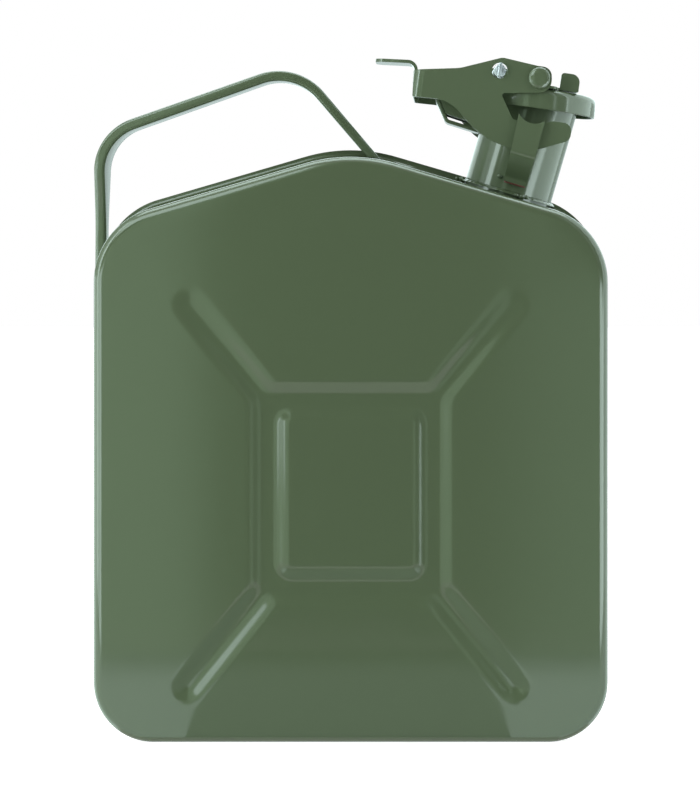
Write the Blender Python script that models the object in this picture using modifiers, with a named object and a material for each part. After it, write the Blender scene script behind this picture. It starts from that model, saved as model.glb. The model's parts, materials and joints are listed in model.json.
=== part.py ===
"""Five-litre pressed-steel fuel can: two stamped shells, strap handle, leaning neck, cam-lever lid.

Metres, +Z up. The origin lies on the ground under the middle of the whole width. The large stamped
face looks toward -Y, the handle stands at -X and the neck leans toward +X.
"""

import math

import bmesh
import bpy
from mathutils import Matrix, Vector

# Clearances that every piece shares
GAP = 0.0003
OVERRUN = 0.002

# Body shells
CAN_WIDTH = 0.2368
CAN_DEPTH = 0.105
RIDGE_HEIGHT = 0.2725
ROOF_SLOPE = math.radians(16.3)
SHEET = 0.0009
BOTTOM_RADIUS = 0.0276
SHOULDER_RADIUS = 0.035
RIDGE_RADIUS = 0.075
RIM_RADIUS = 0.0045
WALL_DRAFT = 0.0004
FLANGE_WIDTH = 0.0035
FLANGE_FILLET = 0.0012
PAD_WIDTH = 0.018
PAD_SLOPE = 0.02
BELLY_LIFT = 0.005
FLANGE_LIFT = 0.0016

# Stamping on both large faces
STAMP_CENTRE_Z = 0.115
STAMP_DEPTH = 0.003
STAMP_SLOPE = 0.0046
FRAME_WIDTH = 0.093
FRAME_HEIGHT = 0.1028
FRAME_RADIUS = 0.005
PANEL_WIDTH = 0.0664
PANEL_HEIGHT = 0.0778
PANEL_RADIUS = 0.0075
ARM_WIDTH = 0.0142
ARM_START_X = 0.038
ARM_START_Z = 0.043
ARM_UPPER_X = 0.0735
ARM_UPPER_Z = 0.0865
ARM_LOWER_X = 0.0745
ARM_LOWER_Z = 0.0885

# Handle
HANDLE_WIDTH = 0.026
HANDLE_DEPTH = 0.0052
HANDLE_WALL = 0.0012
HANDLE_EDGE = 0.0019
HANDLE_SLOT = 0.0029
HANDLE_LEG_X = 0.1242
HANDLE_LEG_LEAN = 0.0006
HANDLE_LEG_FOOT = 0.205
HANDLE_ELBOW_HEIGHT = 0.2797
HANDLE_ELBOW_RADIUS = 0.0245
HANDLE_CROWN_X = -0.0264
HANDLE_CROWN_HEIGHT = 0.3157
HANDLE_CROWN_RADIUS = 0.0264
HANDLE_FOOT_X = 0.0221
HANDLE_FOOT_HEIGHT = 0.2563
HANDLE_LEG_DEPTH_SHARE = 0.78
HANDLE_ARC_STEPS = 8
HANDLE_FOOT_WIDTH_SHARE = 0.44
HANDLE_TAPER_TOP = 0.272
HANDLE_TAPER_BOTTOM = 0.232
HANDLE_FAR_TAPER_SHARE = 0.55

# Neck
NECK_ALONG_ROOF = 0.0793
NECK_RADIUS = 0.0215
NECK_WALL = 0.0015
NECK_TURN = math.radians(-3.0)
NECK_BELOW = 0.005
COLLAR_WIDTH = 0.0024
COLLAR_HEIGHT = 0.002
COLLAR_SEAT = 0.0011
BREATHER_RADIUS = 0.0036
BREATHER_WALL = 0.0008
BREATHER_DROP = 0.018
BREATHER_REACH = 0.034

# Lid: its own frame leans less than the neck does
LID_UP_NECK = 0.047
LID_TILT = math.radians(8.0)
LIP_WIDTH = 0.004
LIP_THICKNESS = 0.0022
LIP_BELOW = 0.0006
LID_RADIUS = 0.03
LID_SHEET = 0.0012
LID_TOP = 0.0065
LID_SKIRT = 0.0098
LID_EDGE_RADIUS = 0.003
GASKET_INNER = 0.0185
GASKET_CLEARANCE = 0.0005
RETAINER_RIM = 0.001
RETAINER_SHEET = 0.001
LID_RIVET_RADIUS = 0.0025
LID_RIVET_HEAD = 0.0045
LID_RIVET_HEAD_HEIGHT = 0.0014

# Lid hinge
HINGE_OUT = 0.0404
HINGE_UP = 0.042
HINGE_PIN_RADIUS = 0.0024
HINGE_PIN_HEAD = 0.0038
HINGE_PIN_HEAD_THICKNESS = 0.0014
BRACKET_SHEET = 0.0017
BRACKET_WIDTH = 0.024
BRACKET_DROP = 0.0151
BRACKET_KNEE = 0.0022
BRACKET_KNEE_RADIUS = 0.0026
BRACKET_SWELL_OUT = 0.0065
BRACKET_SWELL_DROP = 0.0049
BRACKET_SWELL_RADIUS = 0.004

# Bridge on the lid
BRIDGE_SHEET = 0.0012
HINGE_EAR_SHEET = 0.0017
HINGE_EAR_RADIUS = 0.0062
HINGE_EAR_DROP = 0.0121
HINGE_EAR_REACH = 0.0102
HINGE_EAR_TOE = 0.0142
HINGE_EAR_ROOT = 0.0104
BRIDGE_ARM_FRONT = -0.0095
BRIDGE_ARM_BACK = 0.0085
LEVER_EAR_WIDTH = 0.0116
LEVER_EAR_SHEET = 0.0015
TAB_NEAR = 0.01
TAB_FAR = 0.019
TAB_TOP = 0.0153
TAB_OUT = 0.0245
TAB_SHEET = 0.0015
TAB_INNER = 0.008
TAB_RADIUS = 0.0045

# Cam lever
LEVER_SHEET = 0.0018
LEVER_CLEARANCE = 0.0005
PIVOT_ACROSS = -0.0005
PIVOT_UP = 0.0107
PIVOT_RADIUS = 0.0025
PIVOT_HEAD_RADIUS = 0.0051
PIVOT_HEAD_HEIGHT = 0.0019
LEVER_REACH = 0.0592
LEVER_DROP = 0.0348
WEB_BEND_RADIUS = 0.0056
# Corners of the cam plate: along the lever and down from the pivot, as shares of its reach and drop,
# and the corner's radius as a share of its drop
LEVER_CORNER_SHARES = [
    (-1.0, -0.115, 0.017),
    (-0.633, -0.009, 0.575),
    (-0.311, 0.21, 0.172),
    (0.1, 0.141, 0.167),
    (0.1, -0.172, 0.161),
    (-0.285, -0.27, 0.034),
    (-0.166, -0.601, 0.057),
    (0.059, -0.621, 0.172),
    (0.144, -0.552, 0.23),
    (0.306, -0.552, 0.158),
    (0.309, -0.779, 0.115),
    (-0.034, -1.034, 0.805),
    (-0.39, -0.905, 1.092),
    (-0.682, -0.46, 0.517),
    (-0.98, -0.477, 0.017),
]
THUMB_REACH = 0.0203
THUMB_WIDTH = 0.022
THUMB_RISE = 0.0053
THUMB_SHEET = 0.0016
THUMB_BEND_RADIUS = 0.0042
THUMB_DROOP = 0.0018
THUMB_CORNER = 0.006

# Safety pin and its ring
PIN_BACK = 0.0189
PIN_RISE = 0.0009
PIN_RADIUS = 0.003
PIN_CLEARANCE = 0.0007
PIN_FRONT = 0.0018
PIN_CROWN = 0.0004
PIN_NIB_LENGTH = 0.0006
PIN_NIB_WIDTH = 0.0016
PIN_TAIL = 0.0105
RING_RADIUS = 0.009
RING_WIRE = 0.0009
RING_EYE_RADIUS = 0.0017
RING_FROM_END = 0.0036

# Latch lugs on the neck
LUG_SHEET = 0.002
LUG_WIDTH = 0.0128
LUG_ACROSS = -0.0003
LUG_FOOT_WIDTH = 0.0109
LUG_FOOT_ACROSS = 0.0011
LUG_FOOT = 0.0068
LUG_CRANK_START = 0.0095
LUG_CRANK_END = 0.0208
LUG_TOP = 0.0388
LUG_HOLLOW_RADIUS = 0.0084
LUG_HOLLOW_DEPTH = 0.0029
LUG_BEND_RADIUS = 0.003

# Facets
BODY_ARC = 7
ROUND_STEPS = 40
SMALL_STEPS = 20
ARC_STEPS = 5

OLIVE = (0.082, 0.119, 0.063)
ZINC = (0.62, 0.64, 0.68)
BARE_STEEL = (0.42, 0.42, 0.4)
RUBBER = (0.02, 0.02, 0.02)


def clear_scene():
    for thing in list(bpy.data.objects):
        bpy.data.objects.remove(thing, do_unlink=True)


def new_collection(name):
    group = bpy.data.collections.new(name)
    bpy.context.scene.collection.children.link(group)
    return group


def paint(name, colour, roughness, metallic):
    """One Principled material for one piece."""
    material = bpy.data.materials.new(name + "_finish")
    material.use_nodes = True
    shader = material.node_tree.nodes["Principled BSDF"]
    shader.inputs["Base Color"].default_value = (*colour, 1.0)
    shader.inputs["Roughness"].default_value = roughness
    shader.inputs["Metallic"].default_value = metallic
    return material


ENAMEL_LOOK = (OLIVE, 0.38, 0.0)
ZINC_LOOK = (ZINC, 0.3, 1.0)
STEEL_LOOK = (BARE_STEEL, 0.45, 1.0)
RUBBER_LOOK = (RUBBER, 0.8, 0.0)


def add_mesh(name, bm, group, parent, look=None):
    """Turns a bmesh into a named object; without a look it is a cutter, drawn as wire."""
    bmesh.ops.recalc_face_normals(bm, faces=bm.faces)
    mesh = bpy.data.meshes.new(name)
    bm.to_mesh(mesh)
    bm.free()
    return place(bpy.data.objects.new(name, mesh), group, parent, look)


def place(thing, group, parent, look):
    group.objects.link(thing)
    thing.parent = parent
    if look is None:
        thing.hide_render = True
        thing.display_type = "WIRE"
    else:
        thing.data.materials.append(paint(thing.name, *look))
    return thing


def boolean(thing, tool, operation="DIFFERENCE"):
    modifier = thing.modifiers.new(operation.lower() + "_" + tool.name, "BOOLEAN")
    modifier.operation = operation
    modifier.solver = "EXACT"
    modifier.object = tool


def smooth(thing, degrees):
    """Applies an object's cuts, then shades its round stretches smooth and its edges past the angle sharp."""
    bpy.context.view_layer.update()
    solid = thing.evaluated_get(bpy.context.evaluated_depsgraph_get())
    mesh = bpy.data.meshes.new_from_object(solid)
    mesh.name = thing.name
    thing.modifiers.clear()
    thing.data = mesh
    mesh.shade_smooth()
    mesh.set_sharp_from_angle(angle=math.radians(degrees))


def rounded(corners, steps=ARC_STEPS):
    """A closed outline from (x, y, radius) corners, each corner replaced by an arc that fits its sides."""
    points = []
    count = len(corners)
    for index, (x, y, radius) in enumerate(corners):
        here = Vector((x, y))
        before = Vector(corners[index - 1][:2]) - here
        after = Vector(corners[(index + 1) % count][:2]) - here
        half = before.angle(after) / 2
        reach = min(radius / math.tan(half), before.length * 0.49, after.length * 0.49)
        if radius == 0 or half > math.radians(88.0):
            points.append(here)
            continue
        size = reach * math.tan(half)
        middle = here + (before.normalized() + after.normalized()).normalized() * size / math.sin(half)
        start = here + before.normalized() * reach - middle
        end = here + after.normalized() * reach - middle
        turn = start.angle_signed(end)
        for step in range(steps + 1):
            points.append(middle + Matrix.Rotation(-turn * step / steps, 2) @ start)
    return points


def arc(centre_x, centre_y, radius, start, end, steps):
    """Points on an arc from one angle to another, both included."""
    angles = [start + (end - start) * step / steps for step in range(steps + 1)]
    return [Vector((centre_x + radius * math.cos(a), centre_y + radius * math.sin(a))) for a in angles]


def open_path(corners, steps=ARC_STEPS):
    """A path from (x, y, radius) corners whose two ends stay as they are."""
    inner = rounded(corners, steps)
    first = Vector(corners[0][:2])
    last = Vector(corners[-1][:2])
    return [first] + inner[1:-1] + [last]


def strip(path, thickness):
    """The outline of a bent strip of sheet, from its middle line."""
    sides = ([], [])
    for index, point in enumerate(path):
        before = path[max(index - 1, 0)]
        after = path[min(index + 1, len(path) - 1)]
        along = (after - before).normalized()
        across = Vector((-along.y, along.x)) * thickness / 2
        sides[0].append(point + across)
        sides[1].append(point - across)
    return sides[0] + sides[1][::-1]


def loft(name, loops, group, parent, look=None):
    """Joins loops of equal length into one closed body with flat ends."""
    bm = bmesh.new()
    rings = [[bm.verts.new(point) for point in loop] for loop in loops]
    count = len(rings[0])
    for low, high in zip(rings, rings[1:]):
        for index in range(count):
            following = (index + 1) % count
            bm.faces.new((low[index], low[following], high[following], high[index]))
    bm.faces.new(rings[0][::-1])
    bm.faces.new(rings[-1])
    return add_mesh(name, bm, group, parent, look)


def plate(name, outline, start, end, group, parent, look=None, plane="XZ"):
    """A flat outline with thickness: in the XZ plane it runs along Y, in YZ along X, in XY along Z."""
    lift = {
        "XZ": lambda point, depth: (point.x, depth, point.y),
        "YZ": lambda point, depth: (depth, point.x, point.y),
        "XY": lambda point, depth: (point.x, point.y, depth),
    }[plane]
    loops = [[lift(point, depth) for point in outline] for depth in (start, end)]
    return loft(name, loops, group, parent, look)


def turned(name, profile, group, parent, look=None, axis="Z", steps=ROUND_STEPS):
    """A closed profile of (radius, height) points, turned round an axis by a Screw modifier."""
    bm = bmesh.new()
    ring = [bm.verts.new((radius, 0, height)) for radius, height in profile]
    for index, vertex in enumerate(ring):
        if index + 1 < len(ring):
            bm.edges.new((vertex, ring[index + 1]))
        elif profile[0][0] > 0:
            bm.edges.new((vertex, ring[0]))
    mesh = bpy.data.meshes.new(name)
    bm.to_mesh(mesh)
    bm.free()
    thing = place(bpy.data.objects.new(name, mesh), group, parent, look)
    if axis == "Y":
        thing.rotation_euler = (math.radians(90.0), 0, 0)
    screw = thing.modifiers.new("turn", "SCREW")
    screw.steps = steps
    screw.render_steps = steps
    screw.use_merge_vertices = True
    screw.merge_threshold = 0.00001
    screw.use_smooth_shade = True
    return thing


def cylinder(name, radius, start, end, group, parent, look=None, axis="Z", steps=SMALL_STEPS):
    """A plain round bar between two stations on its axis."""
    bm = bmesh.new()
    bmesh.ops.create_cone(
        bm, cap_ends=True, segments=steps, radius1=radius, radius2=radius, depth=end - start
    )
    bmesh.ops.translate(bm, verts=bm.verts, vec=(0, 0, (start + end) / 2))
    if axis == "Y":
        bmesh.ops.rotate(bm, verts=bm.verts, matrix=Matrix.Rotation(math.radians(-90.0), 3, "X"))
    if axis == "X":
        bmesh.ops.rotate(bm, verts=bm.verts, matrix=Matrix.Rotation(math.radians(90.0), 3, "Y"))
    return add_mesh(name, bm, group, parent, look)


def empty(name, parent, location, tilt=0.0):
    """A joint or frame marker; a tilt leans its Z axis toward +X."""
    marker = bpy.data.objects.new(name, None)
    marker.empty_display_size = GASKET_INNER
    marker.parent = parent
    marker.location = location
    marker.rotation_euler = (0, tilt, 0)
    parts.objects.link(marker)
    return marker


def house(grow, floor):
    """The can's outline seen from the front, grown all round by a distance, on its own floor height."""
    half = CAN_WIDTH / 2 + grow
    ridge = RIDGE_HEIGHT + grow / math.cos(ROOF_SLOPE)
    eaves = ridge - half * math.tan(ROOF_SLOPE)
    bottom = BOTTOM_RADIUS + grow
    shoulder = SHOULDER_RADIUS + grow
    corners = [
        (-half, floor, bottom),
        (half, floor, bottom),
        (half, eaves, shoulder),
        (0, ridge, RIDGE_RADIUS + grow),
        (-half, eaves, shoulder),
    ]
    return rounded(corners, BODY_ARC)


def shell_stations(inset):
    """Stations of a half shell's skin: growth of the outline, distance behind the face, floor height.

    An inset of zero gives the outer skin, and the sheet's thickness gives the inner one.
    """
    middle = CAN_DEPTH / 2 - GAP / 2
    stations = []
    for step in range(ARC_STEPS):
        angle = math.radians(90.0) * step / (ARC_STEPS - 1)
        size = RIM_RADIUS - inset
        grow = -RIM_RADIUS + size * math.sin(angle)
        stations.append((grow, RIM_RADIUS - size * math.cos(angle), size * (1 - math.sin(angle)) + inset))
    foot = RIM_RADIUS + PAD_WIDTH
    draft = WALL_DRAFT * foot / middle
    stations.append((draft - inset, foot, inset))
    stations.append((WALL_DRAFT - inset, foot + PAD_SLOPE, BELLY_LIFT + inset))
    flange_face = middle - SHEET
    if inset:
        stations.append((WALL_DRAFT - inset, middle + OVERRUN, BELLY_LIFT + inset))
        return stations
    root = BELLY_LIFT - (BELLY_LIFT - FLANGE_LIFT) * FLANGE_FILLET / FLANGE_WIDTH
    stations.append((WALL_DRAFT, flange_face - FLANGE_FILLET, BELLY_LIFT))
    stations.append((WALL_DRAFT + FLANGE_FILLET, flange_face, root))
    stations.append((FLANGE_WIDTH, flange_face, FLANGE_LIFT))
    stations.append((FLANGE_WIDTH, middle, FLANGE_LIFT))
    return stations


def skin(name, inset, side, group, parent, look=None):
    """The solid that a half shell's outer or inner skin encloses; side is -1 in front and 1 behind."""
    loops = []
    for grow, depth, floor in shell_stations(inset):
        y = side * (CAN_DEPTH / 2 - depth)
        loops.append([(point.x, y, point.y) for point in house(grow, floor)])
    return loft(name, loops, group, parent, look)


def sloped_prism(name, corners_at, deep, side, sink, group, parent, widen=1.0):
    """A stamping tool with sloping sides: narrower with depth, or wider when widen is -1."""
    loops = []
    slope = STAMP_SLOPE / STAMP_DEPTH
    for depth in (-OVERRUN, deep):
        outline = rounded(corners_at(-widen * slope * depth))
        y = side * (CAN_DEPTH / 2 - depth - sink)
        loops.append([(point.x, y, point.y) for point in outline])
    return loft(name, loops, group, parent)


def box_corners(width, height, radius):
    """Corners of a rounded rectangle round the stamping's centre, as a function of growth."""

    def corners(grow):
        x = width / 2 + grow
        z = height / 2 + grow
        edge = max(radius + grow, STAMP_DEPTH / 2)
        low = STAMP_CENTRE_Z - z
        high = STAMP_CENTRE_Z + z
        return [(-x, low, edge), (x, low, edge), (x, high, edge), (-x, high, edge)]

    return corners


def arm_corners(end_x, end_z):
    """Corners of a round-ended diagonal arm from the frame's corner outward, as a function of growth."""
    start = Vector((math.copysign(ARM_START_X, end_x), math.copysign(ARM_START_Z, end_z)))
    end = Vector((end_x, end_z))
    along = (end - start).normalized()
    across = Vector((-along.y, along.x))

    def corners(grow):
        half = ARM_WIDTH / 2 + grow
        near = start - along * half
        far = end + along * half
        points = [near - across * half, far - across * half, far + across * half, near + across * half]
        return [(point.x, point.y + STAMP_CENTRE_Z, half) for point in points]

    return corners


def stamp_tool(label, side, sink, parent):
    """The whole stamping as one tool: frame and four arms, less the square panel left standing."""
    tool = sloped_prism(
        "stamp_frame_" + label,
        box_corners(FRAME_WIDTH, FRAME_HEIGHT, FRAME_RADIUS),
        STAMP_DEPTH,
        side,
        sink,
        tools,
        parent,
    )
    ends = [
        (ARM_UPPER_X, ARM_UPPER_Z),
        (-ARM_UPPER_X, ARM_UPPER_Z),
        (ARM_LOWER_X, -ARM_LOWER_Z),
        (-ARM_LOWER_X, -ARM_LOWER_Z),
    ]
    for number, (end_x, end_z) in enumerate(ends):
        name = "stamp_arm_%s_%d" % (label, number)
        bar = sloped_prism(name, arm_corners(end_x, end_z), STAMP_DEPTH, side, sink, tools, parent)
        boolean(tool, bar, "UNION")
    panel = box_corners(PANEL_WIDTH - 2 * STAMP_SLOPE, PANEL_HEIGHT - 2 * STAMP_SLOPE, PANEL_RADIUS)
    standing = sloped_prism(
        "stamp_panel_" + label, panel, STAMP_DEPTH + OVERRUN, side, sink, tools, parent, widen=-1.0
    )
    boolean(tool, standing)
    return tool


def make_shell(name, side):
    """One pressed half of the can, with its stamping, its neck hole and its flange trimmed at the neck."""
    shell = skin(name, 0.0, side, parts, can, ENAMEL_LOOK)
    cavity = skin(name + "_cavity", SHEET, side, tools, can)
    boolean(cavity, stamp_tool(name + "_inner", side, SHEET, can))
    boolean(shell, stamp_tool(name + "_outer", side, 0.0, can))
    boolean(shell, cavity)
    boolean(shell, neck_hole)
    boolean(shell, flange_trim)
    smooth(shell, 30.0)
    return shell


def box_section(width, depth, edge):
    """A rounded rectangle: the first coordinate runs across the can, the second away from it."""
    across = width / 2
    away = depth / 2
    corners = [(-across, -away), (across, -away), (across, away), (-across, away)]
    return rounded([(x, y, edge) for x, y in corners], 3)


def handle_width(point):
    """Full on the grip, and drawn in toward each foot."""
    foot = HANDLE_FOOT_WIDTH_SHARE
    top = HANDLE_TAPER_TOP
    if point.x > HANDLE_CROWN_X:
        foot = HANDLE_FAR_TAPER_SHARE
        top = HANDLE_CROWN_HEIGHT
    share = (point.y - HANDLE_TAPER_BOTTOM) / (top - HANDLE_TAPER_BOTTOM)
    return HANDLE_WIDTH * (foot + (1 - foot) * min(max(share, 0.0), 1.0))


def handle_sweep(name, line, wall, group, look=None):
    """A box section carried along the handle's line, smaller all round by a wall."""
    total = len(line) - 1
    loops = []
    for index, point in enumerate(line):
        before = line[max(index - 1, 0)]
        after = line[min(index + 1, total)]
        along = (after - before).normalized()
        away = Vector((-along.y, along.x))
        late = max(0.0, index / total - 0.5) * 2
        depth = HANDLE_DEPTH * (1 + (HANDLE_LEG_DEPTH_SHARE - 1) * late)
        section = box_section(handle_width(point) - 2 * wall, depth - 2 * wall, HANDLE_EDGE - wall)
        loops.append([(point.x + away.x * s.y, s.x, point.y + away.y * s.y) for s in section])
    return loft(name, loops, group, can, look)


def make_handle():
    """A folded box section along its bent line, open at both feet, seated on the wall and the flange."""
    leg = -HANDLE_LEG_X + HANDLE_DEPTH / 2
    bends = open_path(
        [
            (leg, HANDLE_LEG_FOOT, 0),
            (leg + HANDLE_LEG_LEAN, HANDLE_ELBOW_HEIGHT, HANDLE_ELBOW_RADIUS),
            (HANDLE_CROWN_X, HANDLE_CROWN_HEIGHT - HANDLE_DEPTH / 2, HANDLE_CROWN_RADIUS),
            (HANDLE_FOOT_X, HANDLE_FOOT_HEIGHT, 0),
        ],
        HANDLE_ARC_STEPS,
    )
    waist = bends[0].lerp(bends[1], (HANDLE_TAPER_BOTTOM - bends[0].y) / (bends[1].y - bends[0].y))
    line = [bends[0], waist] + bends[1:]
    handle = handle_sweep("handle", line, 0.0, parts, ENAMEL_LOOK)
    first = line[0] + (line[0] - line[1]).normalized() * OVERRUN
    last = line[-1] + (line[-1] - line[-2]).normalized() * OVERRUN
    inside = [first] + line[1:-1] + [last]
    boolean(handle, handle_sweep("handle_inside", inside, HANDLE_WALL, tools))
    wall = house(WALL_DRAFT + GAP, BELLY_LIFT)
    boolean(handle, plate("handle_wall_trim", wall, -HANDLE_WIDTH, HANDLE_WIDTH, tools, can))
    flange = house(FLANGE_WIDTH + GAP, FLANGE_LIFT)
    slot = HANDLE_SLOT / 2
    boolean(handle, plate("handle_flange_notch", flange, -slot, slot, tools, can))
    root = house(WALL_DRAFT + FLANGE_FILLET + GAP, BELLY_LIFT)
    wide = GAP / 2 + SHEET + FLANGE_FILLET + GAP
    boolean(handle, plate("handle_fillet_notch", root, -wide, wide, tools, can))
    smooth(handle, 35.0)


def make_neck():
    """Filler neck, its weld collar, its sealing lip and the breather tube inside."""
    bore = NECK_RADIUS - NECK_WALL
    top = LID_UP_NECK + NECK_RADIUS
    tube = turned(
        "neck_tube",
        [(NECK_RADIUS, top), (NECK_RADIUS, -NECK_BELOW), (bore, -NECK_BELOW), (bore, top)],
        parts,
        neck,
        ENAMEL_LOOK,
    )
    above = cylinder("neck_top_trim", LID_RADIUS * 2, -LIP_BELOW - GAP, NECK_RADIUS * 3, tools, lid)
    boolean(tube, above)
    inner = NECK_RADIUS + GAP
    turned(
        "neck_collar",
        [
            (inner, COLLAR_SEAT + COLLAR_HEIGHT),
            (inner + COLLAR_WIDTH * 0.4, COLLAR_SEAT + COLLAR_HEIGHT * 0.45),
            (inner + COLLAR_WIDTH, COLLAR_SEAT + GAP),
            (inner, COLLAR_SEAT + GAP),
        ],
        parts,
        neck,
        ENAMEL_LOOK,
    )
    rim = NECK_RADIUS + LIP_WIDTH
    roll = LIP_THICKNESS / 3
    low = -LIP_BELOW
    high = LIP_THICKNESS - LIP_BELOW
    turned(
        "neck_lip",
        [
            (rim - roll, high),
            (rim, high - roll),
            (rim, low + roll),
            (rim - roll, low),
            (bore, low),
            (bore, high - roll),
            (bore + roll, high),
        ],
        parts,
        lid,
        STEEL_LOOK,
    )
    across = -bore + BREATHER_RADIUS + GAP
    start = LID_UP_NECK - NECK_WALL * 4
    line = [
        Vector((across, start)),
        Vector((across, -BREATHER_DROP / 2)),
        Vector((across - BREATHER_REACH * 0.08, -BREATHER_DROP * 0.75)),
        Vector((across - BREATHER_REACH * 0.3, -BREATHER_DROP * 0.95)),
        Vector((across - BREATHER_REACH, -BREATHER_DROP)),
    ]
    pipe(line)


def pipe(line):
    """The breather: a tube along a bent line, its bore left open at both ends."""
    outer = bent_rod("breather_tube", line, BREATHER_RADIUS, 0.0, parts, STEEL_LOOK)
    boolean(outer, bent_rod("breather_bore", line, BREATHER_RADIUS - BREATHER_WALL, OVERRUN, tools, None))


def bent_rod(name, line, radius, extra, group, look):
    """A round rod swept along a line in the neck's XZ plane, lengthened at both ends."""
    first = line[0] + (line[0] - line[1]).normalized() * extra
    last = line[-1] + (line[-1] - line[-2]).normalized() * extra
    line = [first] + line[1:-1] + [last]
    loops = []
    for index, point in enumerate(line):
        along = (line[min(index + 1, len(line) - 1)] - line[max(index - 1, 0)]).normalized()
        across = Vector((along.y, -along.x))
        ring = arc(0.0, 0.0, radius, 0.0, math.radians(360.0), 12)[:-1]
        loops.append([(point.x + across.x * r.x, r.y, point.y + across.y * r.x) for r in ring])
    return loft(name, loops, group, neck, look)


def make_lug(name, side):
    """A latch lug: welded to the neck, cranked out past the lever's plate, wider and hollow at its top."""
    stand = lever_outer() + GAP + LUG_SHEET / 2
    foot = NECK_RADIUS + GAP + LUG_SHEET / 2
    line = open_path(
        [
            (side * foot, LUG_FOOT, 0),
            (side * foot, LUG_CRANK_START, LUG_BEND_RADIUS),
            (side * stand, LUG_CRANK_END, LUG_BEND_RADIUS),
            (side * stand, LUG_TOP, 0),
        ],
        3,
    )
    outline = strip(line, LUG_SHEET)
    lug = plate(name, outline, -LUG_WIDTH, LUG_WIDTH, parts, neck, ENAMEL_LOOK, plane="YZ")
    front = [
        Vector((LUG_FOOT_ACROSS - LUG_FOOT_WIDTH / 2, LUG_FOOT - GAP)),
        Vector((LUG_FOOT_ACROSS + LUG_FOOT_WIDTH / 2, LUG_FOOT - GAP)),
        Vector((LUG_ACROSS + LUG_WIDTH / 2, LUG_TOP + GAP)),
        Vector((LUG_ACROSS - LUG_WIDTH / 2, LUG_TOP + GAP)),
    ]
    reach = LID_RADIUS * 2
    boolean(lug, plate(name + "_front", front, -reach, reach, tools, neck), "INTERSECT")
    hollow = cylinder(name + "_hollow", LUG_HOLLOW_RADIUS, -reach, reach, tools, neck, axis="Y")
    hollow.location = (LUG_ACROSS, 0, LUG_TOP - LUG_HOLLOW_DEPTH + LUG_HOLLOW_RADIUS)
    boolean(lug, hollow)
    smooth(lug, 30.0)


def lever_inner():
    """Half the distance between the inner faces of the lever's two plates."""
    return LID_RADIUS + LEVER_CLEARANCE


def lever_outer():
    """Half the distance between the outer faces of the lever's two plates."""
    return lever_inner() + LEVER_SHEET


def make_hinge():
    """The bracket rolled round the hinge pin, and the pin with its two heads."""
    eye = HINGE_PIN_RADIUS + GAP + BRACKET_SHEET / 2
    root = HINGE_OUT - NECK_RADIUS - GAP
    run = open_path(
        [
            (root, -BRACKET_DROP - BRACKET_SHEET / 4, 0),
            (BRACKET_KNEE, -BRACKET_DROP, BRACKET_KNEE_RADIUS),
            (-BRACKET_SWELL_OUT, -BRACKET_SWELL_DROP, BRACKET_SWELL_RADIUS),
            (-eye, GAP, 0),
        ],
        4,
    )
    roll = arc(0.0, 0.0, eye, math.radians(170.0), math.radians(-70.0), 10)
    outline = strip(run[:-1] + roll, BRACKET_SHEET)
    half = BRACKET_WIDTH / 2
    bracket = plate("hinge_bracket", outline, -half, half, parts, hinge_in_neck, ENAMEL_LOOK)
    smooth(bracket, 35.0)
    reach = half + GAP + HINGE_EAR_SHEET + GAP
    end = reach + HINGE_PIN_HEAD_THICKNESS
    turned(
        "hinge_pin",
        [
            (0, end),
            (HINGE_PIN_HEAD * 0.8, end),
            (HINGE_PIN_HEAD, end - HINGE_PIN_HEAD_THICKNESS * 0.4),
            (HINGE_PIN_HEAD, reach),
            (HINGE_PIN_RADIUS, reach),
            (HINGE_PIN_RADIUS, -reach),
            (HINGE_PIN_HEAD, -reach),
            (HINGE_PIN_HEAD, -end + HINGE_PIN_HEAD_THICKNESS * 0.4),
            (HINGE_PIN_HEAD * 0.8, -end),
            (0, -end),
        ],
        parts,
        hinge_in_neck,
        ENAMEL_LOOK,
        axis="Y",
        steps=SMALL_STEPS,
    )


def in_lid(thing):
    """Moves a piece modelled in the lid's frame under the marker on the lid's hinge axis."""
    thing.parent = hinge_axis
    thing.location = thing.location + Vector((-HINGE_ACROSS, 0, -HINGE_RISE))
    return thing


def on_lever(thing):
    """Moves a piece modelled in the lid's frame under the marker on the lever's pivot axis."""
    thing.parent = lever_axis
    thing.location = thing.location + Vector((-PIVOT_ACROSS, 0, -PIVOT_UP))
    return thing


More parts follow.
